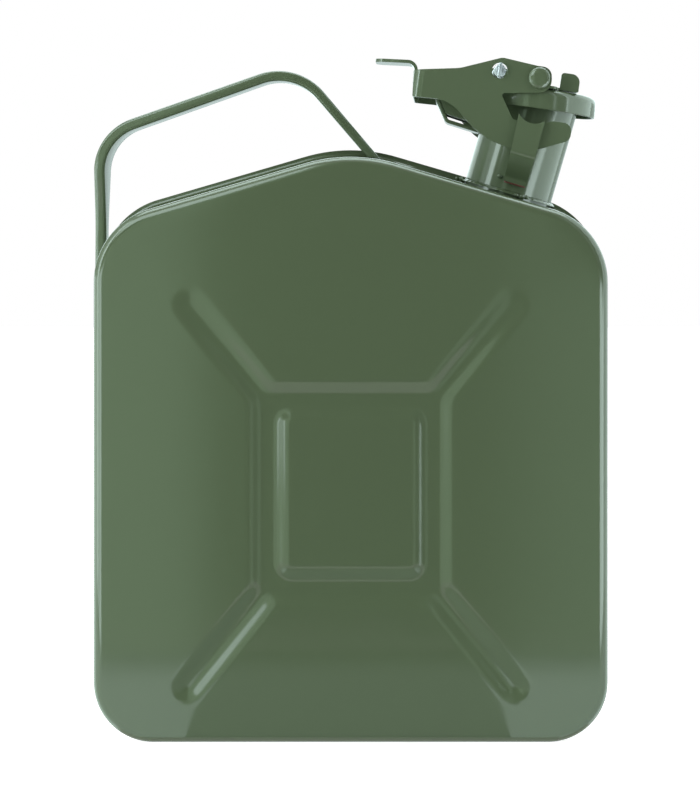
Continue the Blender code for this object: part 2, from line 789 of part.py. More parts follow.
def make_lid():
    """Lid, gasket, retainer and the rivet that holds them under the bridge."""
    hole = LID_RIVET_RADIUS + GAP
    inside = LID_TOP - LID_SHEET
    bottom = LID_TOP - LID_SKIRT
    edge = arc(
        LID_RADIUS - LID_EDGE_RADIUS,
        LID_TOP - LID_EDGE_RADIUS,
        LID_EDGE_RADIUS,
        math.radians(90.0),
        0.0,
        4,
    )
    hollow = arc(
        LID_RADIUS - LID_EDGE_RADIUS,
        LID_TOP - LID_EDGE_RADIUS,
        LID_EDGE_RADIUS - LID_SHEET,
        0.0,
        math.radians(90.0),
        3,
    )
    profile = [(hole, LID_TOP)] + [tuple(point) for point in edge]
    profile += [(LID_RADIUS, bottom), (LID_RADIUS - LID_SHEET, bottom)]
    profile += [tuple(point) for point in hollow] + [(hole, inside)]
    in_lid(turned("cap_shell", profile, parts, lid, ENAMEL_LOOK))
    lip_top = LIP_THICKNESS - LIP_BELOW
    outer = LID_RADIUS - LID_SHEET - GASKET_CLEARANCE
    low = lip_top + GAP
    high = inside - GAP
    soft = (high - low) / 5
    in_lid(
        turned(
            "cap_gasket",
            [
                (outer - soft, high),
                (outer, high - soft),
                (outer, low + soft),
                (outer - soft, low),
                (GASKET_INNER, low),
                (GASKET_INNER, high),
            ],
            parts,
            lid,
            RUBBER_LOOK,
        )
    )
    body = GASKET_INNER - GAP
    rim = GASKET_INNER + RETAINER_RIM
    under = low - GAP
    in_lid(
        turned(
            "gasket_retainer",
            [
                (hole, high),
                (body, high),
                (body, under),
                (rim, under),
                (rim, under - RETAINER_SHEET),
                (body - RETAINER_SHEET, under - RETAINER_SHEET),
                (body - RETAINER_SHEET, high - RETAINER_SHEET),
                (hole, high - RETAINER_SHEET),
            ],
            parts,
            lid,
            STEEL_LOOK,
        )
    )
    top = LID_TOP + GAP + BRIDGE_SHEET + GAP
    tail = high - RETAINER_SHEET - GAP
    dome = LID_RIVET_HEAD_HEIGHT
    in_lid(
        turned(
            "cap_rivet",
            [
                (0, top + dome),
                (LID_RIVET_HEAD * 0.55, top + dome * 0.85),
                (LID_RIVET_HEAD * 0.9, top + dome * 0.4),
                (LID_RIVET_HEAD, top),
                (LID_RIVET_RADIUS, top),
                (LID_RIVET_RADIUS, tail),
                (LID_RIVET_HEAD * 0.8, tail),
                (LID_RIVET_HEAD * 0.7, tail - dome * 0.7),
                (0, tail - dome * 0.7),
            ],
            parts,
            lid,
            ENAMEL_LOOK,
            steps=SMALL_STEPS,
        )
    )


def make_bridge():
    """The bridge on the lid: a flat cross with ears for the hinge and the lever, and an upright tab."""
    seat = LID_TOP + GAP
    top = seat + BRIDGE_SHEET
    arm = BRACKET_WIDTH / 2 + GAP + HINGE_EAR_SHEET
    reach = LID_RADIUS + GAP / 3
    back = HINGE_ACROSS
    bend = BRIDGE_SHEET * 2
    edge = arm - GAP
    flat = [
        (back, -edge, 0),
        (BRIDGE_ARM_FRONT, -edge, bend),
        (BRIDGE_ARM_FRONT, -reach + GAP, bend),
        (BRIDGE_ARM_BACK, -reach + GAP, bend),
        (BRIDGE_ARM_BACK, -TAB_OUT + GAP, bend),
        (TAB_FAR - GAP, -TAB_OUT + GAP, bend / 2),
        (TAB_FAR - GAP, -TAB_INNER, bend),
        (BRIDGE_ARM_BACK, -TAB_INNER, bend),
        (BRIDGE_ARM_BACK, reach - GAP, bend),
        (BRIDGE_ARM_FRONT, reach - GAP, bend),
        (BRIDGE_ARM_FRONT, edge, bend),
        (back, edge, 0),
    ]
    bridge = in_lid(
        plate("cap_bridge", rounded(flat, 3), seat, top, parts, lid, ENAMEL_LOOK, plane="XY")
    )
    low = seat + BRIDGE_SHEET / 4
    half = LEVER_EAR_WIDTH / 2
    crown = PIVOT_UP + half
    ear = rounded(
        [
            (PIVOT_ACROSS - half, low, 0),
            (PIVOT_ACROSS + half, low, 0),
            (PIVOT_ACROSS + half, crown, half),
            (PIVOT_ACROSS - half, crown, half),
        ]
    )
    radius = HINGE_EAR_RADIUS
    rise = top + GAP / 4 - HINGE_RISE
    hinge_ear = rounded(
        [
            (HINGE_EAR_ROOT, rise, 0),
            (-radius * 0.15, rise, radius * 0.6),
            (-radius, radius * 0.4, radius * 0.6),
            (-radius, -radius * 0.5, radius * 0.5),
            (-radius * 0.15, -HINGE_EAR_DROP, BRIDGE_SHEET),
            (HINGE_EAR_REACH, -HINGE_EAR_TOE, BRIDGE_SHEET),
            (HINGE_EAR_ROOT, -HINGE_EAR_DROP * 0.62, BRIDGE_SHEET),
        ],
        3,
    )
    hinge_ear = [point + Vector((HINGE_ACROSS, HINGE_RISE)) for point in hinge_ear]
    tab = rounded(
        [
            (TAB_NEAR, low, 0),
            (TAB_FAR, low, 0),
            (TAB_FAR, TAB_TOP, TAB_RADIUS),
            (TAB_NEAR, TAB_TOP, TAB_RADIUS / 3),
        ]
    )
    inner = BRACKET_WIDTH / 2 + GAP
    for label, side in (("front", -1), ("rear", 1)):
        outer = side * reach
        name = "lever_ear_" + label
        boolean(bridge, add_wall(name, ear, outer, side * (reach - LEVER_EAR_SHEET)), "UNION")
        name = "hinge_ear_" + label
        boolean(bridge, add_wall(name, hinge_ear, side * arm, side * inner), "UNION")
    boolean(bridge, add_wall("lift_tab", tab, -TAB_OUT, -TAB_OUT + TAB_SHEET), "UNION")
    drill(bridge, "bridge_pivot_drill", PIVOT_ACROSS, PIVOT_UP, PIVOT_RADIUS + GAP, in_lid)
    drill(bridge, "bridge_hinge_drill", HINGE_ACROSS, HINGE_RISE, HINGE_PIN_RADIUS + GAP, in_lid)
    hole = in_lid(
        cylinder("bridge_rivet_drill", LID_RIVET_RADIUS + GAP, 0.0, LID_TOP * 2, tools, lid)
    )
    boolean(bridge, hole)
    smooth(bridge, 30.0)


def add_wall(name, outline, start, end):
    return in_lid(plate(name, outline, min(start, end), max(start, end), tools, lid))


def drill(thing, name, across, up, radius, carry):
    """A round hole right through, along Y."""
    reach = LID_RADIUS * 2
    tool = cylinder(name, radius, -reach, reach, tools, lid, axis="Y")
    tool.location = (across, 0, up)
    boolean(thing, carry(tool))


def lever_outline():
    """The cam plate's outline round the pivot."""
    return rounded(
        [(x * LEVER_REACH, z * LEVER_DROP, r * LEVER_DROP) for x, z, r in LEVER_CORNER_SHARES], 5
    )


def make_lever():
    """The lever: a block of the plate's outline, hollowed to two plates and a web, with its thumb tab."""
    outer = lever_outer()
    inner = lever_inner()
    outline = [point + Vector((PIVOT_ACROSS, PIVOT_UP)) for point in lever_outline()]
    lever = on_lever(plate("cam_lever", outline, -outer, outer, parts, lid, ENAMEL_LOOK))
    end = PIVOT_ACROSS - LEVER_REACH
    rim = rounded(
        [
            (end, -outer, WEB_BEND_RADIUS),
            (end + LEVER_REACH * 2, -outer, 0),
            (end + LEVER_REACH * 2, outer, 0),
            (end, outer, WEB_BEND_RADIUS),
        ]
    )
    keep = on_lever(
        plate("lever_plan", rim, -LEVER_REACH, LEVER_REACH, tools, lid, plane="XY")
    )
    boolean(lever, keep, "INTERSECT")
    hollow = rounded(
        [
            (end + LEVER_SHEET, -inner, WEB_BEND_RADIUS - LEVER_SHEET),
            (end + LEVER_REACH * 2 + OVERRUN, -inner, 0),
            (end + LEVER_REACH * 2 + OVERRUN, inner, 0),
            (end + LEVER_SHEET, inner, WEB_BEND_RADIUS - LEVER_SHEET),
        ]
    )
    core = on_lever(
        plate("lever_hollow", hollow, -LEVER_REACH * 2, LEVER_REACH * 2, tools, lid, plane="XY")
    )
    boolean(lever, core)
    web_top = PIVOT_UP + LEVER_CORNER_SHARES[0][1] * LEVER_DROP
    x = end + LEVER_SHEET / 2
    tip = x - THUMB_REACH
    high = web_top + THUMB_RISE
    line = open_path(
        [
            (x, web_top - THUMB_RISE, 0),
            (x, high, THUMB_BEND_RADIUS),
            (tip, high - THUMB_DROOP, 0),
        ],
        5,
    )
    half = THUMB_WIDTH / 2
    thumb = on_lever(plate("thumb_tab", strip(line, THUMB_SHEET), -half, half, tools, lid))
    corner = rounded(
        [
            (tip - GAP, -half - GAP, THUMB_CORNER),
            (x + LEVER_REACH, -half - GAP, 0),
            (x + LEVER_REACH, half + GAP, 0),
            (tip - GAP, half + GAP, THUMB_CORNER),
        ]
    )
    shape = on_lever(plate("thumb_plan", corner, -LEVER_REACH, LEVER_REACH, tools, lid, plane="XY"))
    boolean(thumb, shape, "INTERSECT")
    boolean(lever, thumb, "UNION")
    drill(lever, "lever_pivot_drill", PIVOT_ACROSS, PIVOT_UP, PIVOT_RADIUS + GAP, on_lever)
    drill(
        lever,
        "lever_pin_drill",
        PIVOT_ACROSS - PIN_BACK,
        PIVOT_UP + PIN_RISE,
        PIN_RADIUS + PIN_CLEARANCE,
        on_lever,
    )
    smooth(lever, 30.0)
    for label, side in (("front", -1), ("rear", 1)):
        make_lever_rivet("lever_rivet_" + label, side)


def make_lever_rivet(name, side):
    """A pivot rivet: low domed head outside the plate, shank through plate and ear."""
    start = lever_outer() + GAP
    dome = PIVOT_HEAD_HEIGHT
    tail = LID_RADIUS - LEVER_EAR_SHEET
    rivet = turned(
        name,
        [
            (0, start + dome),
            (PIVOT_HEAD_RADIUS * 0.8, start + dome * 0.92),
            (PIVOT_HEAD_RADIUS, start + dome * 0.6),
            (PIVOT_HEAD_RADIUS, start),
            (PIVOT_RADIUS, start),
            (PIVOT_RADIUS, tail),
            (0, tail),
        ],
        parts,
        lid,
        ENAMEL_LOOK,
        steps=SMALL_STEPS + 4,
    )
    rivet.rotation_euler = (-side * math.radians(90.0), 0, 0)
    rivet.parent = lever_axis


def make_safety_pin():
    """The pin across both plates, staked at the front, with an eye and a pull ring at the rear."""
    front = -lever_outer() - PIN_FRONT
    rear = lever_outer() + PIN_TAIL
    crown = PIN_CROWN
    pin = cylinder("safety_pin", PIN_RADIUS, front, rear, parts, pin_axis, ZINC_LOOK, axis="Y")
    nib = PIN_RADIUS + PIN_CLEARANCE - crown / 4
    corners = [
        (-PIN_NIB_WIDTH / 2, -nib, PIN_NIB_WIDTH / 3),
        (PIN_NIB_WIDTH / 2, -nib, PIN_NIB_WIDTH / 3),
        (PIN_NIB_WIDTH / 2, nib, PIN_NIB_WIDTH / 3),
        (-PIN_NIB_WIDTH / 2, nib, PIN_NIB_WIDTH / 3),
    ]
    nibs = plate(
        "pin_nibs", rounded(corners, 2), front - crown, front + PIN_NIB_LENGTH, tools, pin_axis
    )
    boolean(pin, nibs, "UNION")
    eye = cylinder("pin_eye_drill", RING_EYE_RADIUS, -LID_RADIUS, LID_RADIUS, tools, ring_axis, axis="X")
    boolean(pin, eye)
    smooth(pin, 30.0)
    ring_mesh = bmesh.new()
    turns = ROUND_STEPS
    sides = 8
    rows = []
    for turn in range(turns):
        angle = math.radians(360.0) * turn / turns
        row = []
        for side in range(sides):
            around = math.radians(360.0) * side / sides
            radius = RING_RADIUS + RING_WIRE * math.cos(around)
            row.append(
                ring_mesh.verts.new(
                    (
                        radius * math.sin(angle),
                        RING_WIRE * math.sin(around),
                        radius * math.cos(angle) - RING_RADIUS,
                    )
                )
            )
        rows.append(row)
    for turn in range(turns):
        for side in range(sides):
            a = rows[turn]
            b = rows[(turn + 1) % turns]
            following = (side + 1) % sides
            ring_mesh.faces.new((a[side], b[side], b[following], a[following]))
    smooth(add_mesh("pin_ring", ring_mesh, parts, ring_axis, ZINC_LOOK), 60.0)


clear_scene()
parts = new_collection("metal_jerry_can")
tools = new_collection("cutters")

# Frames: the can, the neck at right angles to the roof and turned a little on its own axis, and the lid
# that leans less than the neck
can = empty("can_frame", None, ((HANDLE_LEG_X - CAN_WIDTH / 2 - FLANGE_WIDTH) / 2, 0, 0))
neck_foot = Vector(
    (
        NECK_ALONG_ROOF * math.cos(ROOF_SLOPE),
        0,
        RIDGE_HEIGHT - NECK_ALONG_ROOF * math.sin(ROOF_SLOPE),
    )
)
leaning = empty("neck_lean", can, neck_foot, ROOF_SLOPE)
neck = empty("neck_frame", leaning, (0, 0, 0))
neck.rotation_euler = (0, 0, NECK_TURN)
lid = empty("lid_frame", neck, (0, 0, LID_UP_NECK), LID_TILT - ROOF_SLOPE)
lean = LID_TILT - ROOF_SLOPE
hinge_side = -HINGE_OUT
hinge_up = HINGE_UP - LID_UP_NECK
HINGE_ACROSS = hinge_side * math.cos(lean) - hinge_up * math.sin(lean)
HINGE_RISE = hinge_side * math.sin(lean) + hinge_up * math.cos(lean)
hinge_in_neck = empty("hinge_in_neck", neck, (-HINGE_OUT, 0, HINGE_UP))

# Joint markers, each on its axis
hinge_axis = empty("hinge_axis", lid, (HINGE_ACROSS, 0, HINGE_RISE))
lever_axis = empty(
    "lever_axis", hinge_axis, (PIVOT_ACROSS - HINGE_ACROSS, 0, PIVOT_UP - HINGE_RISE)
)
pin_axis = empty("pin_axis", lever_axis, (-PIN_BACK, 0, PIN_RISE))
ring_axis = empty("ring_axis", pin_axis, (0, lever_outer() + PIN_TAIL - RING_FROM_END, 0))

neck_hole = cylinder(
    "neck_hole", NECK_RADIUS + GAP, -NECK_RADIUS, NECK_RADIUS, tools, neck, steps=ROUND_STEPS
)
flange_trim = cylinder(
    "flange_trim",
    NECK_RADIUS + COLLAR_WIDTH + GAP * 3,
    COLLAR_SEAT,
    NECK_RADIUS,
    tools,
    neck,
    steps=ROUND_STEPS,
)

make_shell("front_shell", -1)
make_shell("rear_shell", 1)
make_handle()
make_neck()
make_lug("lug_front", -1)
make_lug("lug_rear", 1)
make_hinge()
make_lid()
make_bridge()
make_lever()
make_safety_pin()
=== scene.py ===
# %% [markdown]
# # A pressed-steel fuel can, dressed for its portrait
# The frame is the imported model: every node already has its size and place. This script makes the fine
# surface of each piece over it: soft pressings, rolled edges, weld beads and paint. It starts by loading
# the frame and its joints.

import json
import math

import bmesh
import bpy
import numpy as np
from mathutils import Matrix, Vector


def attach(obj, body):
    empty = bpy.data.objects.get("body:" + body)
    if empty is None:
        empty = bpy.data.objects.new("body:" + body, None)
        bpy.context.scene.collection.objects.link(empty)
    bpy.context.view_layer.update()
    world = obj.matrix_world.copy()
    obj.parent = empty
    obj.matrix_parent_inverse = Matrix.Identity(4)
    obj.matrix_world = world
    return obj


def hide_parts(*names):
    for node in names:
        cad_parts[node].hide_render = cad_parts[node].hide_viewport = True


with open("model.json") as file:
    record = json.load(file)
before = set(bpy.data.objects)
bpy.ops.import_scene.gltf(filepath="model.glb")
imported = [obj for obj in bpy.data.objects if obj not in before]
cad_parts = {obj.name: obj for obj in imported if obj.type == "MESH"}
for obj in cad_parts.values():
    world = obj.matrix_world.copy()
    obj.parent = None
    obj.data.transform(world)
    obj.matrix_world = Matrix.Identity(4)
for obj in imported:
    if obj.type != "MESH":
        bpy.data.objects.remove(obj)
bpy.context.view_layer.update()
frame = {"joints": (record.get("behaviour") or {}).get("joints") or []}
joints = {joint["name"]: joint for joint in frame["joints"]}
MM = 0.001

# %% [markdown]
# ## Three leaning frames
# The can stands upright. Its neck stands at right angles to the sloping roof and was welded on turned by
# three degrees, and the lid leans less than the neck. Shapes are worked out in millimetres in the frame
# where they are simplest, and one function turns them into metres in the world. A finished piece has its
# place in its mesh.

# %% Frames of the can, the neck and the lid
ROOF = math.radians(16.3)
LID_LEAN = math.radians(8.0)
NECK_TURN = math.radians(-3.0)
CAN_SHIFT = 1.15
RIDGE_HEIGHT = 272.5
NECK_ALONG_ROOF = 79.3
LID_UP_NECK = 47.0


def lean(angle):
    """Turn about +Y that leans the Z axis toward +X."""
    c, s = math.cos(angle), math.sin(angle)
    return np.array([[c, 0, s], [0, 1, 0], [-s, 0, c]])


def spin(angle):
    """Turn about the Z axis."""
    c, s = math.cos(angle), math.sin(angle)
    return np.array([[c, -s, 0], [s, c, 0], [0, 0, 1]])


CAN = (np.array([CAN_SHIFT, 0.0, 0.0]), np.eye(3))
neck_across = CAN_SHIFT + NECK_ALONG_ROOF * math.cos(ROOF)
neck_height = RIDGE_HEIGHT - NECK_ALONG_ROOF * math.sin(ROOF)
NECK = (np.array([neck_across, 0.0, neck_height]), lean(ROOF) @ spin(NECK_TURN))
LID = (NECK[0] + NECK[1] @ np.array([0, 0, LID_UP_NECK]), NECK[1] @ lean(LID_LEAN - ROOF))


def to_world(points, place):
    """Each point, turned by the frame's matrix and moved by its origin, in metres."""
    origin, turn = place
    return (np.asarray(points, float) @ turn.T + origin) * MM


print("neck foot", NECK[0].round(2), "lid centre", LID[0].round(2))

# %% [markdown]
# ## Grids, outlines and solids
# Nearly every piece here is a grid: rows are stations along the piece and columns go round it. The
# helpers below close such a grid, draw an outline with round corners, and give a flat plate the small
# round edge that a stamped and painted sheet has.

# %% Mesh helpers
def put_mesh(name, points, faces, smooth=True):
    """A mesh object at the origin from points in metres and lists of corners."""
    mesh = bpy.data.meshes.new(name)
    mesh.from_pydata(np.asarray(points).reshape(-1, 3).tolist(), [], faces)
    mesh.update()
    thing = bpy.data.objects.new(name, mesh)
    bpy.context.scene.collection.objects.link(thing)
    if smooth:
        mesh.shade_smooth()
    return thing


def outward(thing):
    """Merges doubled points, then turns all faces to point out."""
    bm = bmesh.new()
    bm.from_mesh(thing.data)
    bmesh.ops.remove_doubles(bm, verts=bm.verts, dist=1e-6)
    bmesh.ops.recalc_face_normals(bm, faces=bm.faces)
    bm.to_mesh(thing.data)
    bm.free()
    return thing


def grid_faces(rows, columns, wrap=False):
    """Corner lists of a grid whose columns close round, and whose rows too when it wraps."""
    r = np.arange(rows if wrap else rows - 1)[:, None]
    c = np.arange(columns)[None, :]
    r2, c2 = (r + 1) % rows, (c + 1) % columns
    corners = [r * columns + c, r * columns + c2, r2 * columns + c2, r2 * columns + c]
    return np.stack(corners, axis=-1).reshape(-1, 4).tolist()


def loft(name, rings, place, wrap=False):
    """Rings of points, shape (rings, points, 3), joined in order; flat ends unless it wraps."""
    rings = np.asarray(rings, float)
    rows, columns = rings.shape[:2]
    faces = grid_faces(rows, columns, wrap=wrap)
    if not wrap:
        faces.append(list(range(columns))[::-1])
        faces.append([(rows - 1) * columns + i for i in range(columns)])
    return outward(put_mesh(name, to_world(rings, place), faces))


def sharp(thing, degrees=35):
    """Edges steeper than the angle stay crisp, all others shade round."""
    thing.data.set_sharp_from_angle(angle=math.radians(degrees))
    return thing


def rounded(corners, steps=10):
    """A closed outline from (x, y, radius) corners: each becomes an arc that touches both its sides.
    An arc takes at most 0.49 of a side, so no two arcs meet. A nearly straight corner stays."""
    corners = [(np.array(c[:2], float), float(c[2])) for c in corners]
    out = []
    for i, (here, radius) in enumerate(corners):
        a = corners[i - 1][0] - here
        b = corners[(i + 1) % len(corners)][0] - here
        la, lb = np.linalg.norm(a), np.linalg.norm(b)
        a, b = a / la, b / lb
        half = math.acos(np.clip(a @ b, -1, 1)) / 2
        if radius == 0 or half > math.radians(88):
            out.append(here[None])
            continue
        reach = min(radius / math.tan(half), la * 0.49, lb * 0.49)
        size = reach * math.tan(half)
        middle = here + (a + b) / np.linalg.norm(a + b) * size / math.sin(half)
        start = here + a * reach - middle
        end = here + b * reach - middle
        turn = math.atan2(start[0] * end[1] - start[1] * end[0], start @ end)
        t = np.linspace(0, turn, steps + 1)
        cs, sn = np.cos(t), np.sin(t)
        arc = np.stack([start[0] * cs - start[1] * sn, start[0] * sn + start[1] * cs], 1)
        out.append(middle + arc)
    return np.concatenate(out)


def open_path(corners, steps=10):
    """The same for a path with two free ends, which stay where they are."""
    first, last = (*corners[0][:2], 0), (*corners[-1][:2], 0)
    return rounded([first, *corners[1:-1], last], steps)


def normals_of(outline, closed=True):
    """Unit normals to the right of the way along an outline, averaged at each point."""
    if closed:
        ahead = np.roll(outline, -1, 0) - outline
        behind = outline - np.roll(outline, 1, 0)
    else:
        ahead = np.diff(outline, axis=0, append=2 * outline[-1:] - outline[-2:-1])
        behind = np.diff(outline, axis=0, prepend=2 * outline[:1] - outline[1:2])
    ahead = ahead / np.linalg.norm(ahead, axis=1, keepdims=True)
    behind = behind / np.linalg.norm(behind, axis=1, keepdims=True)
    mean = ahead + behind
    mean = mean / np.linalg.norm(mean, axis=1, keepdims=True)
    stretch = 1 / np.clip((ahead * mean).sum(1, keepdims=True), 0.5, 1)
    return np.stack([mean[:, 1], -mean[:, 0]], 1) * stretch


def area_of(outline):
    """Signed area, above zero when the outline runs anticlockwise."""
    x, y = outline[:, 0], outline[:, 1]
    return 0.5 * float((x * np.roll(y, -1) - np.roll(x, -1) * y).sum())


def strip(path, thickness):
    """The outline of a bent strip of sheet, half its thickness to each side of its middle line."""
    side = normals_of(path, closed=False) * thickness / 2
    return np.concatenate([path + side, (path - side)[::-1]])


PLANES = {"XZ": (0, 2, 1), "YZ": (1, 2, 0), "XY": (0, 1, 2)}
CUT_REACH = 60
CRISP = 0.02


def plate(name, outline, low, high, place, edge=CRISP, plane="XZ", steps=1):
    """An outline with thickness. Its rim is a quarter circle of radius e, at the angle a set in by
    e (1 - sin a) at the depth e (1 - cos a)."""
    if area_of(outline) < 0:
        outline = outline[::-1]
    inward = -normals_of(outline)
    angle = np.linspace(0, math.pi / 2, steps + 1)
    set_in, set_down = edge * (1 - np.sin(angle)), edge * (1 - np.cos(angle))
    inset = np.concatenate([set_in, set_in[::-1]])
    depth = np.concatenate([low + set_down, high - set_down[::-1]])
    rings = np.zeros((len(inset), len(outline), 3))
    i, j, k = PLANES[plane]
    flat = outline[None] + inward[None] * inset[:, None, None]
    rings[..., i] = flat[..., 0]
    rings[..., j] = flat[..., 1]
    rings[..., k] = depth[:, None]
    return sharp(loft(name, rings, place), 50)


def turned(name, profile, place, centre=(0, 0), count=96, axis="Z"):
    """A profile of (radius, height) carried once round an axis; a radius of zero closes at a pole."""
    profile = np.asarray(profile, float)
    t = np.linspace(0, 2 * math.pi, count, endpoint=False)
    rings = np.zeros((len(profile), count, 3))
    across, along = (1, 2) if axis == "Z" else (2, 1)
    rings[..., 0] = profile[:, :1] * np.cos(t) + centre[0]
    rings[..., across] = profile[:, :1] * np.sin(t) + centre[1]
    rings[..., along] = profile[:, 1:]
    closed = profile[0, 0] > 0
    return sharp(loft(name, rings, place, wrap=closed), 40)


def drill(radius, place, centre, count=32):
    """A long cylinder across the can, to cut a hole with."""
    profile = [(0, CUT_REACH), (radius, CUT_REACH), (radius, -CUT_REACH), (0, -CUT_REACH)]
    return turned("t_drill", profile, place, centre, count, "Y")


def rod(name, path, radius, place, count=24):
    """A round section carried along a path in space, square to it all the way, with a steady turn."""
    path = np.asarray(path, float)
    along = np.gradient(path, axis=0)
    along /= np.linalg.norm(along, axis=1, keepdims=True)
    side = np.cross(along, [0.0, 1.0, 0.0])
    side /= np.linalg.norm(side, axis=1, keepdims=True)
    up = np.cross(side, along)
    t = np.linspace(0, 2 * math.pi, count, endpoint=False)
    ring = side[:, None] * np.cos(t)[None, :, None] + up[:, None] * np.sin(t)[None, :, None]
    return loft(name, path[:, None] + ring * radius, place)


def cut(thing, *tools, how="DIFFERENCE"):
    """Applies exact Booleans and removes the tools."""
    for tool in tools:
        modifier = thing.modifiers.new("cut", "BOOLEAN")
        modifier.operation = how
        modifier.solver = "EXACT"
        modifier.object = tool
    bpy.context.view_layer.update()
    solid = thing.evaluated_get(bpy.context.evaluated_depsgraph_get())
    mesh = bpy.data.meshes.new_from_object(solid)
    thing.modifiers.clear()
    old, thing.data = thing.data, mesh
    bpy.data.meshes.remove(old)
    mesh.name = thing.name
    for tool in tools:
        bpy.data.objects.remove(tool)
    return thing


def ease_edges(thing, width, segments=3):
    """A Bevel on edges steeper than 30 degrees, as paint and tumbling leave them."""
    bevel = thing.modifiers.new("eased edges", "BEVEL")
    bevel.width = width * MM
    bevel.segments = segments
    bevel.limit_method = "ANGLE"
    bevel.angle_limit = math.radians(30)
    bevel.harden_normals = False
    bevel.use_clamp_overlap = True
    return thing


print("helpers ready")

# %% [markdown]
# ## Paint
# The can wears semi-gloss olive enamel, sprayed on pressed steel. Sprayed enamel levels out but keeps
# a faint ripple, two or three millimetres across, and its gloss is a little uneven. The colours are sRGB
# values that one function makes linear. One small function adds a node, and another feeds its sockets.

# %% Colour and node helpers
def linear(hex_code):
    """sRGB hex to linear: below 0.04045 divide by 12.92, above it ((c + 0.055) / 1.055) ** 2.4."""
    c = np.array([int(hex_code[i : i + 2], 16) / 255 for i in (1, 3, 5)])
    c = np.where(c <= 0.04045, c / 12.92, ((c + 0.055) / 1.055) ** 2.4)
    return (*c.tolist(), 1.0)


def feed(tree, made, **links):
    """Gives a node's sockets, by name or as _0 by number, a value each or another node's socket."""
    for key, value in links.items():
        socket = made.inputs[int(key[1:])] if key[0] == "_" else made.inputs[key.replace("_", " ")]
        if isinstance(value, bpy.types.NodeSocket):
            tree.links.new(value, socket)
        else:
            socket.default_value = value
    return made


def node(tree, kind, settings=None, **links):
    """Adds a node; settings are its own properties, and links feed its sockets."""
    made = tree.nodes.new(kind)
    for key, value in (settings or {}).items():
        setattr(made, key, value)
    return feed(tree, made, **links)


def ramp(tree, factor, stops):
    """A colour ramp from two or more (position, colour) stops."""
    made = node(tree, "ShaderNodeValToRGB", Fac=factor)
    elements = made.color_ramp.elements
    elements[0].position, elements[0].color = stops[0]
    elements[1].position, elements[1].color = stops[-1]
    for position, colour in stops[1:-1]:
        elements.new(position).color = colour
    return made


def finish(name):
    """A new material with its shader and its Object coordinates."""
    material = bpy.data.materials.new(name)
    material.use_nodes = True
    tree = material.node_tree
    shader = tree.nodes["Principled BSDF"]
    coordinates = tree.nodes.new("ShaderNodeTexCoord").outputs["Object"]
    return material, tree, shader, coordinates


def grey(value):
    """A number as an opaque colour."""
    return (value, value, value, 1.0)


print("linear olive", [round(c, 4) for c in linear("#516147")[:3]])

# %% [markdown]
# ## Semi-gloss olive enamel on pressed steel
# An alkyd enamel: a green-brown body colour under a smooth film. The film gives sharp but weak
# reflections, and its ripple breaks them up a little. The stamped parts on top were sprayed a little
# lighter than the body.

# %% Enamel
def enamel(name, colour, roughness=0.12, ripple=0.003, patch=0.012):
    """Enamel with a ripple in millimetres, whose colour drifts by the share that patch gives."""
    material, tree, shader, place = finish(name)
    cloud = node(tree, "ShaderNodeTexNoise", Vector=place, Scale=9.0, Detail=1.0, Roughness=0.5)
    body = np.array(linear(colour)[:3])
    dark = (*(body * (1 - patch)).tolist(), 1.0)
    light = (*(body * (1 + patch)).tolist(), 1.0)
    tone = ramp(tree, cloud.outputs[0], [(0.3, dark), (0.7, light)])
    gloss = node(tree, "ShaderNodeTexNoise", Vector=place, Scale=60.0, Detail=2.0)
    dull = [(0.3, grey(roughness - 0.01)), (0.7, grey(roughness + 0.015))]
    spread = ramp(tree, gloss.outputs[0], dull)
    peel = node(tree, "ShaderNodeTexNoise", Vector=place, Scale=400.0, Detail=1.0)
    bump = node(tree, "ShaderNodeBump", Height=peel.outputs[0], Strength=1.0, Distance=ripple * MM)
    feed(tree, shader, Base_Color=tone.outputs[0], Roughness=spread.outputs[0], IOR=1.5)
    feed(tree, shader, Normal=bump.outputs[0])
    return material


BODY_PAINT = enamel("semi-gloss olive enamel on pressed steel", "#54644a")
PART_PAINT = enamel("semi-gloss olive enamel on stamped sheet", "#58694f")
print("paints:", BODY_PAINT.name, "and", PART_PAINT.name)

# %% [markdown]
# ## Bare and plated metal, and rubber
# The safety pin and its ring are bright zinc over drawn steel wire. The sealing lip and the gasket's
# retainer are oiled steel. The gasket is nitrile rubber, moulded matt.

# %% Zinc, steel and rubber
def bright_metal(name, colour, roughness, scale):
    """A metal whose gloss is stained at the scale of a noise, and whose skin is pitted by 0.01 mm."""
    material, tree, shader, place = finish(name)
    stain = node(tree, "ShaderNodeTexNoise", Vector=place, Scale=scale, Detail=4.0)
    dull = [(0.3, grey(roughness - 0.05)), (0.7, grey(roughness + 0.08))]
    spread = ramp(tree, stain.outputs[0], dull)
    bump = node(tree, "ShaderNodeBump", Height=stain.outputs[0], Strength=1.0, Distance=0.01 * MM)
    feed(tree, shader, Base_Color=linear(colour), Metallic=1.0)
    feed(tree, shader, Roughness=spread.outputs[0], Normal=bump.outputs[0])
    return material


ZINC = bright_metal("bright zinc-plated steel", "#cfd2da", 0.34, 500.0)
STEEL = bright_metal("oiled bare steel", "#a8a7a2", 0.4, 300.0)


def moulded_rubber(name):
    """Black rubber with the grain of its mould."""
    material, tree, shader, place = finish(name)
    grain = node(tree, "ShaderNodeTexNoise", Vector=place, Scale=900.0, Detail=2.0)
    tone = ramp(tree, grain.outputs[0], [(0.35, linear("#17181a")), (0.65, linear("#242527"))])
    bump = node(tree, "ShaderNodeBump", Height=grain.outputs[0], Strength=1.0, Distance=0.03 * MM)
    feed(tree, shader, Base_Color=tone.outputs[0], Roughness=0.7, Normal=bump.outputs[0])
    return material


RUBBER = moulded_rubber("matt nitrile rubber")


